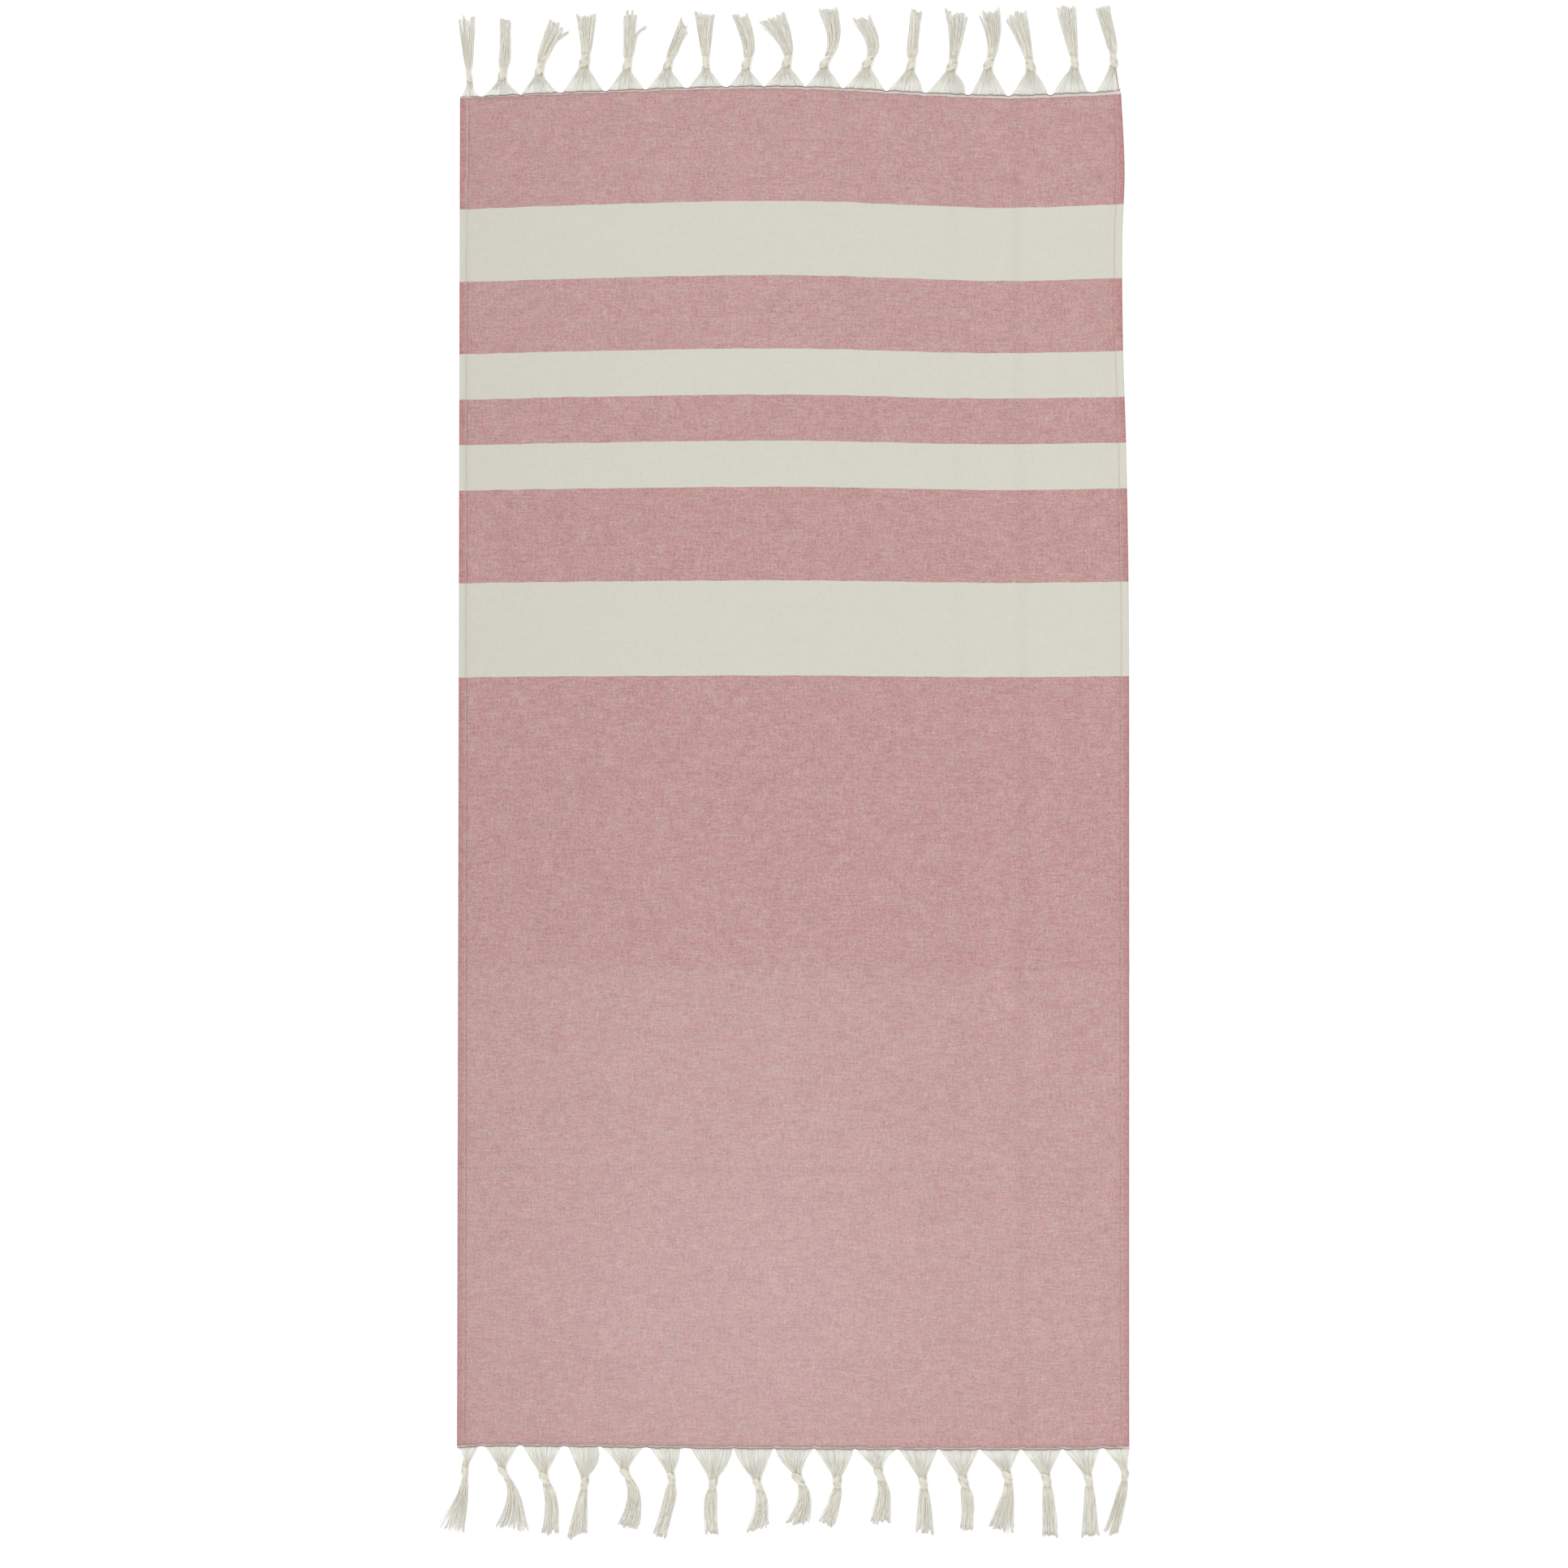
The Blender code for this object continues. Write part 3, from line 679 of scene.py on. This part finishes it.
def yarn_mesh(name, paths, radii, sides, marks, pressed=1.0):
    """Closed yarns, one along each path, as one mesh in metres, pressed flatter than round."""
    yarns, steps = paths.shape[:2]
    ahead = np.gradient(paths, axis=1)
    ahead /= np.linalg.norm(ahead, axis=2, keepdims=True)
    side = np.cross(ahead[:, 0], (0.0, 0.0, 1.0))
    across = np.empty_like(paths)
    for step in range(steps):
        side = side - (side * ahead[:, step]).sum(1, keepdims=True) * ahead[:, step]
        side /= np.linalg.norm(side, axis=1, keepdims=True)
        across[:, step] = side
    up = np.cross(across, ahead)
    turns = 2 * pi * (np.arange(sides) / sides + 0.25)
    ring = (np.cos(turns)[:, None] * across[:, :, None] + np.sin(turns)[:, None] * up[:, :, None])
    ring *= (2 - pressed, 2 - pressed, pressed)
    verts = paths[:, :, None] + radii[:, :, None, None] * ring

    number = np.arange(yarns * steps * sides).reshape(yarns, steps, sides)
    after = np.roll(number, -1, axis=2)
    walls = np.stack((number[:, :-1], number[:, 1:], after[:, 1:], after[:, :-1]), axis=-1)
    caps = np.concatenate((number[:, 0], number[:, -1, ::-1]))
    mesh = bpy.data.meshes.new(name)
    mesh.from_pydata((verts.reshape(-1, 3) * MM).tolist(), [],
                     walls.reshape(-1, 4).tolist() + caps.tolist())

    length = np.linalg.norm(np.diff(paths, axis=1), axis=2).cumsum(axis=1) * MM
    length = np.concatenate((np.zeros((yarns, 1)), length), axis=1)
    round_yarn = np.empty((yarns, steps, sides, 3))
    round_yarn[..., 0], round_yarn[..., 1] = np.cos(turns), np.sin(turns)
    round_yarn[..., 2] = length[:, :, None]
    keep_numbers(mesh, "yarn_round", round_yarn)
    keep_numbers(mesh, "yarn_marks", np.repeat(marks[:, :, None], sides, axis=2))
    piece = bpy.data.objects.new(name, mesh)
    bpy.context.scene.collection.objects.link(piece)
    return piece


Station = namedtuple("Station", "column inset height out up flat side")


def cloth_stations(cell):
    """Where the mesh crosses the cloth, from the left hem's raw edge to the right hem's."""
    points = np.array(HEM_PATH)
    path = np.stack((-points[:, 0], points[:, 1]), axis=1)
    ahead = np.gradient(path, axis=0)
    ahead /= np.linalg.norm(ahead, axis=1, keepdims=True)
    travel = np.concatenate(([0.0], np.linalg.norm(np.diff(path, axis=0), axis=1).cumsum()))
    foot = HALF_WIDE - HEM_PATH[0][0]
    hem = [Station(None, inset, height, -direction[1], direction[0], foot + gone, 1)
           for (inset, height), direction, gone in zip(HEM_PATH, ahead, travel)]
    count = round(2 * foot / cell)
    gaps = [gap for gap in tassel_gaps(TOP_TASSELS) + tassel_gaps(BOTTOM_TASSELS)
            if abs(gap) < foot - cell / 3]
    gaps = [gap for gap in sorted(gaps)
            if not any(0 < gap - other < 2.5 for other in gaps)]
    inner = [mix(-foot, foot, index / count) for index in range(1, count)]
    inner = sorted(gaps + [column for column in inner
                           if min(abs(column - gap) for gap in gaps) > cell / 2.2])
    middle = [Station(column, None, HEM_PATH[0][1], 0.0, 1.0, column, 0) for column in inner]
    left = [station._replace(flat=-station.flat, side=-1) for station in reversed(hem)]
    return left + middle + hem


def cloth_rows(cell):
    """Where the mesh crosses the cloth's length, closer together over its creases."""
    count = round(2 * HALF_LONG / cell)
    even = [mix(-HALF_LONG, HALF_LONG, index / count) for index in range(count + 1)]
    close = []
    for crease in CROSSWISE_CREASES:
        close += [crease.place + crease.reach * share for share in (-0.5, -0.2, 0, 0.2, 0.5)]
    clear = [row for row in even[1:-1] if min(abs(row - other) for other in close) > cell / 3]
    return sorted(close + clear + [even[0], even[-1]])


def station_point(station, row, half_thick):
    """A point of the cloth's face, half a thickness to one side of its middle layer."""
    if station.side:
        stitched = read(RIGHT_STITCH if station.side > 0 else LEFT_STITCH, row)
        moved = (stitched - STITCH_INSET) * min(station.inset / STITCH_INSET, 1.0)
        moved *= min((HEM_PATH[0][0] - station.inset) / HEM_SHIFT_FADE, 1.0)
        column = station.side * (HALF_WIDE - station.inset - moved)
    else:
        column = station.column
    x, y = cloth_point(column, row)
    out = (station.side or 1) * station.out * half_thick
    return x + out, y, station.height + station.up * half_thick + cloth_lift(column, row)


class TOWEL_OT_cloth(bpy.types.Operator):
    """Weave the cloth: one sheet whose sides are turned under as hems."""
    bl_idname = "towel.cloth"
    bl_label = "Cloth"

    def execute(self, context):
        settings = context.scene.towel_cloth
        stations = cloth_stations(settings.cell / MM)
        rows = cloth_rows(settings.cell / MM)
        start_clean()
        bpy.ops.mesh.primitive_grid_add(x_subdivisions=len(stations) - 1,
                                        y_subdivisions=len(rows) - 1, size=2.0)
        piece = context.object
        piece.name = piece.data.name = "towel_weave"
        bpy.ops.object.mode_set(mode="EDIT")
        bpy.ops.mesh.select_all(action="SELECT")
        bpy.ops.mesh.extrude_region_move(TRANSFORM_OT_translate={"value": (0.0, 0.0, 1.0)})
        bpy.ops.object.mode_set(mode="OBJECT")
        mesh = piece.data
        order = sorted(range(len(mesh.vertices)), key=lambda index: (
            round(mesh.vertices[index].co.z), round(mesh.vertices[index].co.y, 5),
            round(mesh.vertices[index].co.x, 5)))
        half_thick = settings.thickness / MM / 2
        places = np.empty((len(order), 3))
        flat = np.empty((len(order), 3))
        made = iter(order)
        for side in (-half_thick, half_thick):
            for row in rows:
                for station in stations:
                    index = next(made)
                    places[index] = station_point(station, row, side)
                    flat[index] = station.flat, row, side
        mesh.vertices.foreach_set("co", (places * MM).astype(np.float32).ravel())
        keep_numbers(mesh, "cloth_place", flat * MM)
        mesh.update()
        finish_piece(piece, cloth_material(settings), "towel_cloth")
        return {"FINISHED"}


class TOWEL_OT_hem_stitches(bpy.types.Operator):
    """Sew the two hems: one stitch, repeated down each side."""
    bl_idname = "towel.hem_stitches"
    bl_label = "Hem stitches"

    def execute(self, context):
        settings = context.scene.towel_threads
        thread = yarn_material("hem_thread", settings.stitch_colour, settings.stitch_pale,
                               2 * settings.stitch_thick, 0.06)
        for name, side, insets in (("hem_stitches_left", -1, LEFT_STITCH),
                                   ("hem_stitches_right", 1, RIGHT_STITCH)):
            long, pitch, thick = (size / MM for size in (
                settings.stitch_long, settings.stitch_pitch, settings.stitch_thick))
            count = int(2 * (HALF_LONG - STITCH_START) / pitch)
            piece = self.stitch_row(name, count, long, pitch, thick / 2)
            self.sew(piece, side, insets, count, long, pitch, thick / 2)
            finish_piece(piece, thread)
        return {"FINISHED"}

    def stitch_row(self, name, count, long, pitch, radius):
        """Model one stitch along Y and repeat it."""
        start_clean()
        bpy.ops.mesh.primitive_cylinder_add(vertices=STITCH_SIDES, radius=radius, depth=long,
                                            rotation=(pi / 2, 0.0, 0.0), end_fill_type="NGON")
        piece = bpy.context.object
        piece.name = piece.data.name = name
        bpy.ops.object.transform_apply(location=True, rotation=True, scale=True)
        bpy.ops.object.mode_set(mode="EDIT")
        bpy.ops.mesh.select_mode(type="EDGE")
        bpy.ops.mesh.select_all(action="DESELECT")
        bpy.ops.object.mode_set(mode="OBJECT")
        for edge in piece.data.edges:
            first, second = (piece.data.vertices[end].co for end in edge.vertices)
            edge.select = abs(first.y - second.y) > long / 2
        bpy.ops.object.mode_set(mode="EDIT")
        bpy.ops.mesh.subdivide(number_cuts=3)
        bpy.ops.object.mode_set(mode="OBJECT")
        for vert in piece.data.vertices:
            share = abs(vert.co.y) / (long / 2)
            thinner = 1 - STITCH_TAPER * share ** 4
            vert.co.x *= thinner
            vert.co.z = vert.co.z * thinner - STITCH_DIP * share ** 2.5
        row_of = piece.modifiers.new("row", "ARRAY")
        row_of.count = count
        row_of.use_relative_offset = False
        row_of.use_constant_offset = True
        row_of.constant_offset_displace = (0.0, pitch, 0.0)
        bpy.ops.object.modifier_apply(modifier=row_of.name)
        return piece

    def sew(self, piece, side, insets, count, long, pitch, radius):
        """Lay the row of stitches along the hem, each a little out of line."""
        mesh = piece.data
        places = np.empty((len(mesh.vertices), 3))
        round_thread = np.zeros((len(mesh.vertices), 3))
        marks = np.zeros((len(mesh.vertices), 3))
        chance = random.Random(11 + side)
        leans = [chance.uniform(0.02, 0.14) for _ in range(count)]
        tones = [chance.random() for _ in range(count)]
        wander = [chance.gauss(0, 0.16) for _ in range(count)]
        top = max(height for inset, height in HEM_PATH if abs(inset - STITCH_INSET) < 0.1)
        for index, vert in enumerate(mesh.vertices):
            number = round(vert.co.y / pitch)
            along = vert.co.y - number * pitch
            middle_row = STITCH_START - HALF_LONG + number * pitch + long / 2
            row = middle_row + along
            inset = read(insets, row) - side * leans[number] * along + wander[number]
            inset += 0.25 * sin(row / 17.0) * sin(row / 5.3)
            column = side * (HALF_WIDE - inset) + vert.co.x
            x, y = cloth_point(column, row)
            z = top + CLOTH_THICK / 2 + radius * 0.55 + vert.co.z + cloth_lift(column, row)
            places[index] = x, y, z
            round_thread[index] = vert.co.x / radius, vert.co.z / radius, along * MM
            pale = 1.0 if side < 0 and row > PALE_STITCHES else 0.2
            marks[index] = tones[number], pale, 0.0
        mesh.vertices.foreach_set("co", (places * MM).astype(np.float32).ravel())
        keep_numbers(mesh, "yarn_round", round_thread)
        keep_numbers(mesh, "yarn_marks", marks)
        mesh.update()


class TOWEL_OT_end_threads(bpy.types.Operator):
    """Lay the two-ply thread that locks the last weft across each end."""
    bl_idname = "towel.end_threads"
    bl_label = "End threads"

    def execute(self, context):
        settings = context.scene.towel_threads
        thread = yarn_material("end_thread", settings.end_red, settings.end_pale, 0.002, 0.25)
        ends = (("end_thread_top", TOP_END, TOP_TASSELS, 1, END_REACH_TOP),
                ("end_thread_bottom", BOTTOM_END, BOTTOM_TASSELS, -1, END_REACH_BOTTOM))
        for name, line, tassels, outward, reach in ends:
            plies, marks = self.plies(line, tassels, outward, reach, settings.end_thick / MM)
            radii = np.full(plies.shape[:2], settings.end_thick / MM / 2)
            finish_piece(yarn_mesh(name, plies, radii, END_SIDES, marks), thread)
        return {"FINISHED"}

    def plies(self, line, tassels, outward, reach, thick):
        """Two yarns twisted round each other along the end, sinking between the tassels."""
        low, high = reach
        steps = round((high - low) / END_LAY * END_STEPS)
        chance = random.Random(31 + outward)
        marks = np.zeros((2, steps + 1, 3))
        paths = np.empty((2, steps + 1, 3))
        blot = 0.5
        for step in range(steps + 1):
            x = mix(low, high, step / steps)
            turn = 2 * pi * (x - low) / END_LAY
            drift = 0.3 * sin(x / 2.3 + 1.5 * sin(x / 13)) + 0.25 * sin(x / 5.1)
            out = drift - end_notch(tassels, x) + 0.1
            if outward > 0:
                out += END_CURL * max(0.0, x - (high - END_LOOSE)) ** 2
            blot = min(max(blot + chance.gauss(0, 0.13), 0.0), 1.0)
            height = CLOTH_THICK + thick / 2 + cloth_lift(x, outward * HALF_LONG)
            for ply in (0, 1):
                angle = turn + pi * ply
                paths[ply, step] = (x, read(line, x) + outward * (out + thick * 0.5 * cos(angle)),
                                    height + thick * 0.5 * sin(angle))
                redder = 0.35 * (x - low) / (high - low) if outward > 0 else 0.2
                marks[ply, step] = blot, min(0.25 + 0.5 * ply + redder, 1.0), 0.0
        return paths, marks


def smooth_line(points, count):
    """Points evenly spaced along a smooth curve through the given ones."""
    points = np.asarray(points, float)
    first, last = 2 * points[0] - points[1], 2 * points[-1] - points[-2]
    padded = np.concatenate(([first], points, [last]))
    shares = np.linspace(0, 1, 12, endpoint=False)[:, None]
    fine = []
    for before, start, end, after in zip(padded, padded[1:], padded[2:], padded[3:]):
        fine.append(0.5 * (2 * start + (end - before) * shares
                           + (2 * before - 5 * start + 4 * end - after) * shares ** 2
                           + (3 * start - before - 3 * end + after) * shares ** 3))
    fine = np.concatenate(fine + [points[-1:]])
    gone = np.concatenate(([0.0], np.linalg.norm(np.diff(fine, axis=0), axis=1).cumsum()))
    wanted = np.linspace(0, gone[-1], count)
    return np.stack([np.interp(wanted, gone, fine[:, axis]) for axis in range(3)], axis=1)


def packed_disc(count, chance):
    """Places of yarns in a round bundle of radius 1."""
    golden = pi * (3 - 5 ** 0.5)
    reach = np.sqrt((np.arange(count) + 0.5) / count)
    angle = golden * np.arange(count) + chance.uniform(0, 2 * pi)
    return np.stack((reach * np.cos(angle), reach * np.sin(angle)), axis=1)


def knot_yarns(tassel, disc, radius):
    """The yarns' paths through a tassel's knot: the bundle turns over and through itself."""
    fan_lean = (tassel.knot_x - (tassel.left + tassel.right) / 2) / tassel.knot_out
    tail_lean = ((tassel.tip_x - tassel.knot_x + SWAY_LEAN * tassel.sway)
                 / (tassel.tip_out - tassel.knot_out))
    tail_lean = min(max(tail_lean, -LEAN_MOST), LEAN_MOST)
    hand = 1 if tail_lean >= 0 else -1
    line = smooth_line(KNOT_PATH, KNOT_STEPS)
    half_wide = max(tassel.knot_wide / 2 - radius, KNOT_LEAST)
    line = line * (hand * half_wide, KNOT_LONG / 2 - radius, radius)
    ahead = np.gradient(line, axis=0)
    ahead /= np.linalg.norm(ahead, axis=1, keepdims=True)
    level = np.cross(ahead, (0.0, 0.0, 1.0))
    level /= np.linalg.norm(level, axis=1, keepdims=True)
    upward = np.cross(level, ahead)
    paths = np.empty((len(disc), KNOT_STEPS, 3))
    side = np.array((1.0, 0.0, 0.0))
    for step, direction in enumerate(ahead):
        side = side - side.dot(direction) * direction
        side /= np.linalg.norm(side)
        across = disc[:, :1] * side + disc[:, 1:] * np.cross(side, direction)
        # Where the bundle enters and leaves the knot it is wider and flatter.
        share = step / (KNOT_STEPS - 1)
        flat = 1 - ease(min(share, 1 - share) / KNOT_MOUTH)
        wider = radius * mix(1.0, MOUTH_WIDE_IN if share < 0.5 else MOUTH_WIDE_OUT, flat)
        lower = radius * mix(1.0, MOUTH_FLAT, flat)
        paths[:, step] = (line[step] + wider * (across @ level[step])[:, None] * level[step]
                          + lower * (across @ upward[step])[:, None] * upward[step])
    paths[..., 2] *= KNOT_PRESSED
    # The knot bends from the fan's direction into the tail's.
    lean = mix(fan_lean, tail_lean, ease((paths[..., 1] + KNOT_BEND) / (2 * KNOT_BEND)))
    paths[..., 0] += lean * paths[..., 1]
    return paths + (tassel.knot_x, tassel.knot_out, 0.0)


def fan_yarns(tassel, entry, chance):
    """The yarns' paths from the cloth's end to the knot, in order from left to right."""
    yarns = len(entry)
    spots = (np.arange(yarns) + 0.5) / yarns
    jitter = np.array([chance.gauss(0, 0.3) for _ in range(yarns)]) / yarns
    # Four neighbouring yarns cling together and are pulled out of line by the same amount.
    pull = np.array([chance.uniform(-1, 1) for _ in range(yarns // 4 + 2)])[np.arange(yarns) // 4]
    root_x = mix(tassel.left + 0.2, tassel.right - 0.2, np.clip(spots + jitter, 0, 1))
    edge = 2 * spots - 1
    bulge = (tassel.bulge_right * np.clip(edge, 0, 1) ** 1.5
             - tassel.bulge_left * np.clip(-edge, 0, 1) ** 1.5)
    loft = np.array([chance.uniform(0, FAN_LOFT) for _ in range(yarns)])
    fan = np.empty((yarns, FAN_STEPS, 3))
    for step, share in enumerate(FAN_SHARES):
        gone = max(share, 0.0)
        fan[:, step, 0] = (mix(root_x, entry[:, 0], gone) + bulge * 4 * gone * (1 - gone)
                           + pull * FAN_PULL * sin(pi * gone))
        fan[:, step, 1] = entry[:, 1] * share
        fan[:, step, 2] = (mix(CLOTH_THICK / 2, entry[:, 2], gone ** 1.5)
                           + loft * (0.25 + sin(pi * gone)))
    return fan


def tail_yarns(tassel, leaving, strays, thick, chance):
    """The yarns' paths beyond the knot: a brush whose tips end in small tufts."""
    yarns = len(leaving)
    rank = np.empty(yarns)
    rank[np.argsort(leaving[:, 0])] = np.arange(yarns)
    spread = (rank + 0.5) / yarns - 0.5
    locks = max(4, round(tassel.tip_wide / LOCK_WIDE))
    lock = np.clip(((spread + 0.5) * locks).astype(int), 0, locks - 1)
    lock_middle = (lock + 0.5) / locks - 0.5
    # Each lock waves and ends in its own way: sway, its start, its length, and how far it reaches.
    wave = np.array([(chance.uniform(0.3, 0.9), chance.uniform(0, 2 * pi),
                      chance.uniform(0.6, 1.1), chance.gauss(0, 1.8)) for _ in range(locks)])[lock]
    own = np.array([(chance.gauss(0, 0.5), chance.uniform(0, 2 * pi), chance.uniform(0.9, 2.0),
                     -abs(chance.gauss(0, 2.2)) - 7.0 * (chance.random() < 0.06),
                     chance.random()) for _ in range(yarns)])
    start_x, start_out = leaving[:, :2].mean(axis=0)
    begun = (start_out - tassel.knot_out) / (tassel.tip_out - tassel.knot_out)

    def middle(along):
        """The middle of the tail, which bows on its way from the knot to its tip."""
        return (mix(tassel.knot_x, tassel.tip_x, along)
                + tassel.sway * sin(pi * min(along, 1.0) ** SWAY_EARLY))

    # Narrow tails are wide early on, and wide ones open towards their tips.
    halfway_wide = min(9 + 0.25 * tassel.tip_wide, 0.8 * tassel.tip_wide)
    opening = log2(tassel.tip_wide / halfway_wide)
    tail = np.empty((yarns, TAIL_STEPS, 3))
    for step in range(TAIL_STEPS):
        share = (step + 1) / TAIL_STEPS
        width = tassel.tip_wide * share ** opening
        place = mix(spread, lock_middle, 0.35 * ease((share - 0.6) / 0.4))
        tail[:, step, 0] = (middle(mix(begun, 1.0, share)) + place * width
                            + (leaving[:, 0] - middle(begun)) * (1 - share) ** 1.7
                            + wave[:, 0] * share * np.sin(2 * pi * wave[:, 2] * share + wave[:, 1])
                            + own[:, 0] * share * (0.6 + share)
                            + 0.3 * share * np.sin(4 * pi * own[:, 2] * share + own[:, 1]))
        reach = tassel.tip_out + spread * tassel.slant + wave[:, 3] + own[:, 3]
        tail[:, step, 1] = mix(leaving[:, 1], reach, share)
        pile = mix(*TAIL_PILE, share) * (1 - 0.7 * (2 * spread) ** 2)
        height = thick / 2 + 0.05 + own[:, 4] * pile
        tail[:, step, 2] = mix(leaving[:, 2], height, ease(share / 0.3))
    for stray in strays:
        chosen = rank >= yarns - stray.yarns if stray.edge > 0 else rank < stray.yarns
        order = rank[chosen] - rank[chosen].mean()
        goal = np.stack((stray.tip_x + order * 0.3 + own[chosen, 0] * 1.5,
                         stray.tip_out + own[chosen, 3] * 1.2), axis=1)
        shift = goal - tail[chosen, -1, :2]
        shares = (np.arange(TAIL_STEPS) + 1) / TAIL_STEPS
        parted = np.clip((shares - stray.leave) / (1 - stray.leave), 0, 1) ** 1.5
        moved = tail[chosen]
        moved[..., :2] += shift[:, None] * parted[:, None]
        tail[chosen] = moved
    return tail, np.abs(2 * spread)


def tassel_yarns(tassel, line, outward, strays, settings, chance):
    """The paths of one tassel's yarns in millimetres, with their radii and marks."""
    yarns = round((tassel.right - tassel.left) / 10 * settings.yarns_per_cm)
    thick = settings.yarn_thick / MM
    radius = min((yarns / BUNDLE_FILL) ** 0.5 * thick / 2, BUNDLE_MOST * tassel.knot_wide)
    knot = knot_yarns(tassel, packed_disc(yarns, chance), radius)
    knot[..., 2] = np.maximum(knot[..., 2], thick / 2)
    knot = knot[np.argsort(knot[:, 0, 0])]
    fan = fan_yarns(tassel, knot[:, 0], chance)
    tail, edge = tail_yarns(tassel, knot[:, -1], strays, thick, chance)
    paths = np.concatenate((fan, knot, tail), axis=1)

    # Lay the tassel on its end of the cloth, whose line the fan's roots follow.
    columns = np.linspace(-480, 480, 193)
    end_y = np.array([read(line, x) for x in columns])
    close = np.clip(1 - paths[..., 1] / 20, 0, 1)
    base = mix(read(line, tassel.knot_x), np.interp(paths[..., 0], columns, end_y), close)
    paths[..., 1] = base + outward * paths[..., 1]

    radii = np.full(paths.shape[:2], thick / 2)
    radii *= np.array([chance.uniform(0.85, 1.15) for _ in range(yarns)])[:, None]
    radii[:, -1] *= 0.6
    marks = np.zeros(paths.shape)
    marks[..., 0] = np.array([chance.random() for _ in range(yarns)])[:, None]
    marks[:, :FAN_STEPS, 2] = FAN_SPREAD_LIT
    # Tails spread towards their tips and edges, where painted light shows through them.
    out = np.linspace(0, 1, TAIL_STEPS)
    marks[:, -TAIL_STEPS:, 2] = mix(0.1, 0.9, edge[:, None] ** 2) * out + 0.1 * out
    return paths, radii, marks


class TOWEL_OT_fringes(bpy.types.Operator):
    """Knot the warp yarns of each end into tassels, half an end to a piece."""
    bl_idname = "towel.fringes"
    bl_label = "Fringes"

    def execute(self, context):
        settings = context.scene.towel_fringe
        yarn = yarn_material("cream_yarn", settings.cream, settings.dyed, YARN_LAY, 0.08,
                             settings.spread_lit)
        rows = (("fringe_top", TOP_TASSELS, TOP_END, 1, TOP_STRAYS),
                ("fringe_bottom", BOTTOM_TASSELS, BOTTOM_END, -1, BOTTOM_STRAYS))
        for node, tassels, line, outward, strays in rows:
            middle = (len(tassels) + 1) // 2
            for half, chosen in (("left", range(middle)), ("right", range(middle, len(tassels)))):
                made = []
                for index in chosen:
                    chance = random.Random(100 * outward + index)
                    own = [stray for stray in strays if stray.tassel == index]
                    made.append(tassel_yarns(tassels[index], line, outward, own, settings, chance))
                paths, radii, marks = (np.concatenate(part) for part in zip(*made))
                if node == "fringe_top" and half == "right":
                    marks[-4::2, :, 1] = 1.0    # two dyed yarns at the selvedge
                piece = yarn_mesh(f"{node}_{half}", paths, radii, YARN_SIDES, marks, YARN_PRESSED)
                finish_piece(piece, yarn, node)
        return {"FINISHED"}


class TOWEL_OT_stage(bpy.types.Operator):
    """Set up the plain floor, the soft light and the camera."""
    bl_idname = "towel.stage"
    bl_label = "Floor, light and camera"

    def execute(self, context):
        settings = context.scene.towel_stage
        start_clean()
        bpy.ops.mesh.primitive_plane_add(size=settings.floor_size, location=(0, 0, -FLOOR_GAP))
        floor = context.object
        floor.name = "floor"
        bpy.ops.object.transform_apply(location=True, rotation=True, scale=True)
        paint = bpy.data.materials.new("floor_paint")
        paint.use_nodes = True
        shader = paint.node_tree.nodes["Principled BSDF"]
        shader.inputs["Base Color"].default_value = (*settings.floor_colour, 1.0)
        shader.inputs["Roughness"].default_value = 1.0
        shader.inputs["Specular IOR Level"].default_value = 0.0
        floor.data.materials.append(paint)

        world = bpy.data.worlds.new("soft_white")
        world.use_nodes = True
        sky = world.node_tree.nodes["Background"]
        sky.inputs["Color"].default_value = (1.0, 1.0, 1.0, 1.0)
        sky.inputs["Strength"].default_value = settings.sky_light
        context.scene.world = world

        key = bpy.data.lights.new("key", "SUN")
        key.energy = settings.key_light
        key.angle = radians(KEY_SOFTNESS)
        key_object = bpy.data.objects.new("key", key)
        key_object.rotation_euler = [radians(turn) for turn in KEY_TURN]
        context.scene.collection.objects.link(key_object)

        camera = bpy.data.cameras.new("camera")
        camera.lens = settings.lens
        camera.sensor_width = 36.0
        camera_object = bpy.data.objects.new("camera", camera)
        camera_object.location = (*CAMERA_OVER, settings.camera_height)
        context.scene.collection.objects.link(camera_object)
        context.scene.camera = camera_object
        context.scene.view_settings.view_transform = "Standard"
        return {"FINISHED"}


class TOWEL_PT_panel(bpy.types.Panel):
    """The towel's pieces, in the order they are made."""
    bl_idname = "TOWEL_PT_panel"
    bl_label = "Hammam towel"
    bl_space_type = "VIEW_3D"
    bl_region_type = "UI"
    bl_category = "Towel"

    def draw(self, context):
        for operator in OPERATORS:
            self.layout.operator(operator.bl_idname)
        for group in SETTINGS:
            box = self.layout.box()
            settings = getattr(context.scene, group)
            for name in settings.bl_rna.properties.keys():
                if name not in ("rna_type", "name"):
                    box.prop(settings, name)


SETTINGS = {"towel_cloth": TowelClothSettings, "towel_fringe": TowelFringeSettings,
            "towel_threads": TowelThreadSettings, "towel_stage": TowelStageSettings}
OPERATORS = (TOWEL_OT_stage, TOWEL_OT_cloth, TOWEL_OT_hem_stitches, TOWEL_OT_end_threads,
             TOWEL_OT_fringes)
CLASSES = (*SETTINGS.values(), *OPERATORS, TOWEL_PT_panel)


def register():
    for made in CLASSES:
        bpy.utils.register_class(made)
    for name, settings in SETTINGS.items():
        setattr(bpy.types.Scene, name, PointerProperty(type=settings))


def unregister():
    for name in SETTINGS:
        delattr(bpy.types.Scene, name)
    for made in reversed(CLASSES):
        bpy.utils.unregister_class(made)


def main():
    register()
    bpy.ops.towel.stage()
    bpy.ops.towel.cloth()
    bpy.ops.towel.hem_stitches()
    bpy.ops.towel.end_threads()
    bpy.ops.towel.fringes()


if __name__ == "__main__":
    main()
